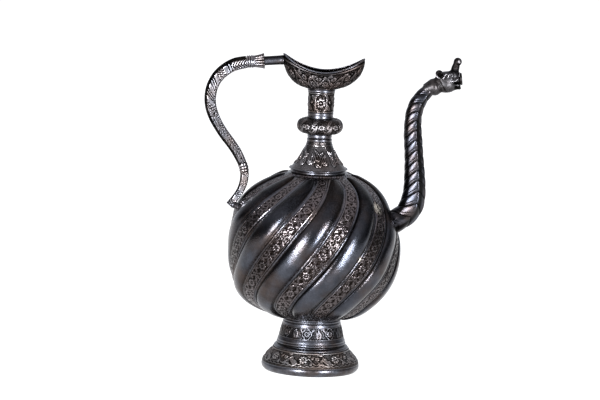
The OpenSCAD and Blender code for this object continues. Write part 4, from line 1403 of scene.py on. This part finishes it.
# ---------------------------------------------------------------- floor, light and camera
def floor(half=3000.0, points_across=25, glow=0.97):
    """Plain pale floor just under the foot."""
    gx, gy = np.meshgrid(*[np.linspace(-half, half, points_across)] * 2)
    verts = np.stack([gx.ravel(), gy.ravel(), np.full(gx.size, -0.05)], -1)
    corner = np.arange(points_across - 1)[:, None] * points_across + np.arange(points_across - 1)
    faces = corner.reshape(-1, 1) + np.array([0, 1, points_across + 1, points_across])
    obj = make_mesh("pale_floor", verts, faces.tolist(), sharp=None)
    mat = bpy.data.materials.new("pale_floor")
    mat.use_nodes = True
    shader = mat.node_tree.nodes["Principled BSDF"]
    for socket, value in (("Base Color", (0.28, 0.28, 0.28, 1)), ("Roughness", 0.9),
                          ("Emission Color", (1, 1, 1, 1)), ("Emission Strength", glow)):
        shader.inputs[socket].default_value = value
    obj.data.materials.append(mat)


def softbox(name, azimuth, width, power, height=0.66, elevation=6.5, distance=1.8):
    """Area light that faces the pot; azimuth is measured from the camera's side, positive to the right."""
    a, e = math.radians(azimuth), math.radians(elevation)
    aim = Vector((0, 0, 0.15))
    direction = Vector((math.sin(a) * math.cos(e), -math.cos(a) * math.cos(e), math.sin(e)))
    data = bpy.data.lights.new(name, "AREA")
    data.shape = "RECTANGLE"
    data.size, data.size_y = width, height
    data.energy = power
    data.color = (0.92, 0.955, 1.0)
    obj = bpy.data.objects.new(name, data)
    obj.location = aim + direction * distance
    obj.rotation_euler = direction.to_track_quat("Z", "Y").to_euler()
    bpy.context.scene.collection.objects.link(obj)


def surroundings():
    """White backdrop behind the pot, and a dark studio on the camera's side in what the metal reflects."""
    world = bpy.data.worlds.new("studio")
    bpy.context.scene.world = world
    world.use_nodes = True
    tree = world.node_tree
    tree.nodes.clear()
    new, link = tree.nodes.new, tree.links.new
    part = new("ShaderNodeSeparateXYZ")
    link(new("ShaderNodeTexCoord").outputs["Generated"], part.inputs[0])

    def blend(axis, start, end, first, second):
        """Goes from the first colour to the second as a direction's share along an axis rises."""
        share, tint = new("ShaderNodeMapRange"), new("ShaderNodeMix")
        link(part.outputs[axis], share.inputs["Value"])
        share.inputs["From Min"].default_value, share.inputs["From Max"].default_value = start, end
        tint.data_type = "RGBA"
        link(share.outputs[0], tint.inputs[0])
        tint.inputs[7].default_value = second
        if isinstance(first, tuple):
            tint.inputs[6].default_value = first
        else:
            link(first, tint.inputs[6])
        return tint.outputs[2]

    canopy = blend("Z", 0.3, 0.75, (0.04, 0.041, 0.047, 1), (0.95, 0.94, 1.0, 1))
    studio = blend("Y", 0.36, 0.8, canopy, (0.8, 0.84, 0.92, 1))
    reflected, seen = new("ShaderNodeBackground"), new("ShaderNodeBackground")
    link(studio, reflected.inputs[0])
    reflected.inputs[1].default_value = 1.0
    seen.inputs[0].default_value = (1, 1, 1, 1)
    seen.inputs[1].default_value = 1.05
    pick = new("ShaderNodeMixShader")
    link(new("ShaderNodeLightPath").outputs["Is Camera Ray"], pick.inputs[0])
    link(reflected.outputs[0], pick.inputs[1])
    link(seen.outputs[0], pick.inputs[2])
    link(pick.outputs[0], new("ShaderNodeOutputWorld").inputs[0])


def camera():
    """Long lens a little above the pot's middle, rolled as far as the pot leans in the view."""
    elevation, roll, distance = math.radians(8.8), math.radians(2.38), 5.0
    aim = Vector((-0.0169, 0.0016, 0.1705))
    forward = Vector((0, math.cos(elevation), -math.sin(elevation)))
    right, up = Vector((1, 0, 0)), Vector((0, math.sin(elevation), math.cos(elevation)))
    rolled_right = right * math.cos(roll) + up * math.sin(roll)
    rolled_up = up * math.cos(roll) - right * math.sin(roll)
    data = bpy.data.cameras.new("camera")
    data.lens, data.sensor_width = 300, 36
    data.clip_end = 50
    obj = bpy.data.objects.new("camera", data)
    turn = Matrix((rolled_right, rolled_up, -forward)).transposed().to_4x4()
    obj.matrix_world = Matrix.Translation(aim - forward * distance) @ turn
    bpy.context.scene.collection.objects.link(obj)
    bpy.context.scene.camera = obj


floor()
softbox("softbox_left", -26, 0.38, 60)
softbox("softbox_right", 34, 0.32, 50)
surroundings()
bpy.context.scene.view_settings.view_transform = "Standard"
camera()
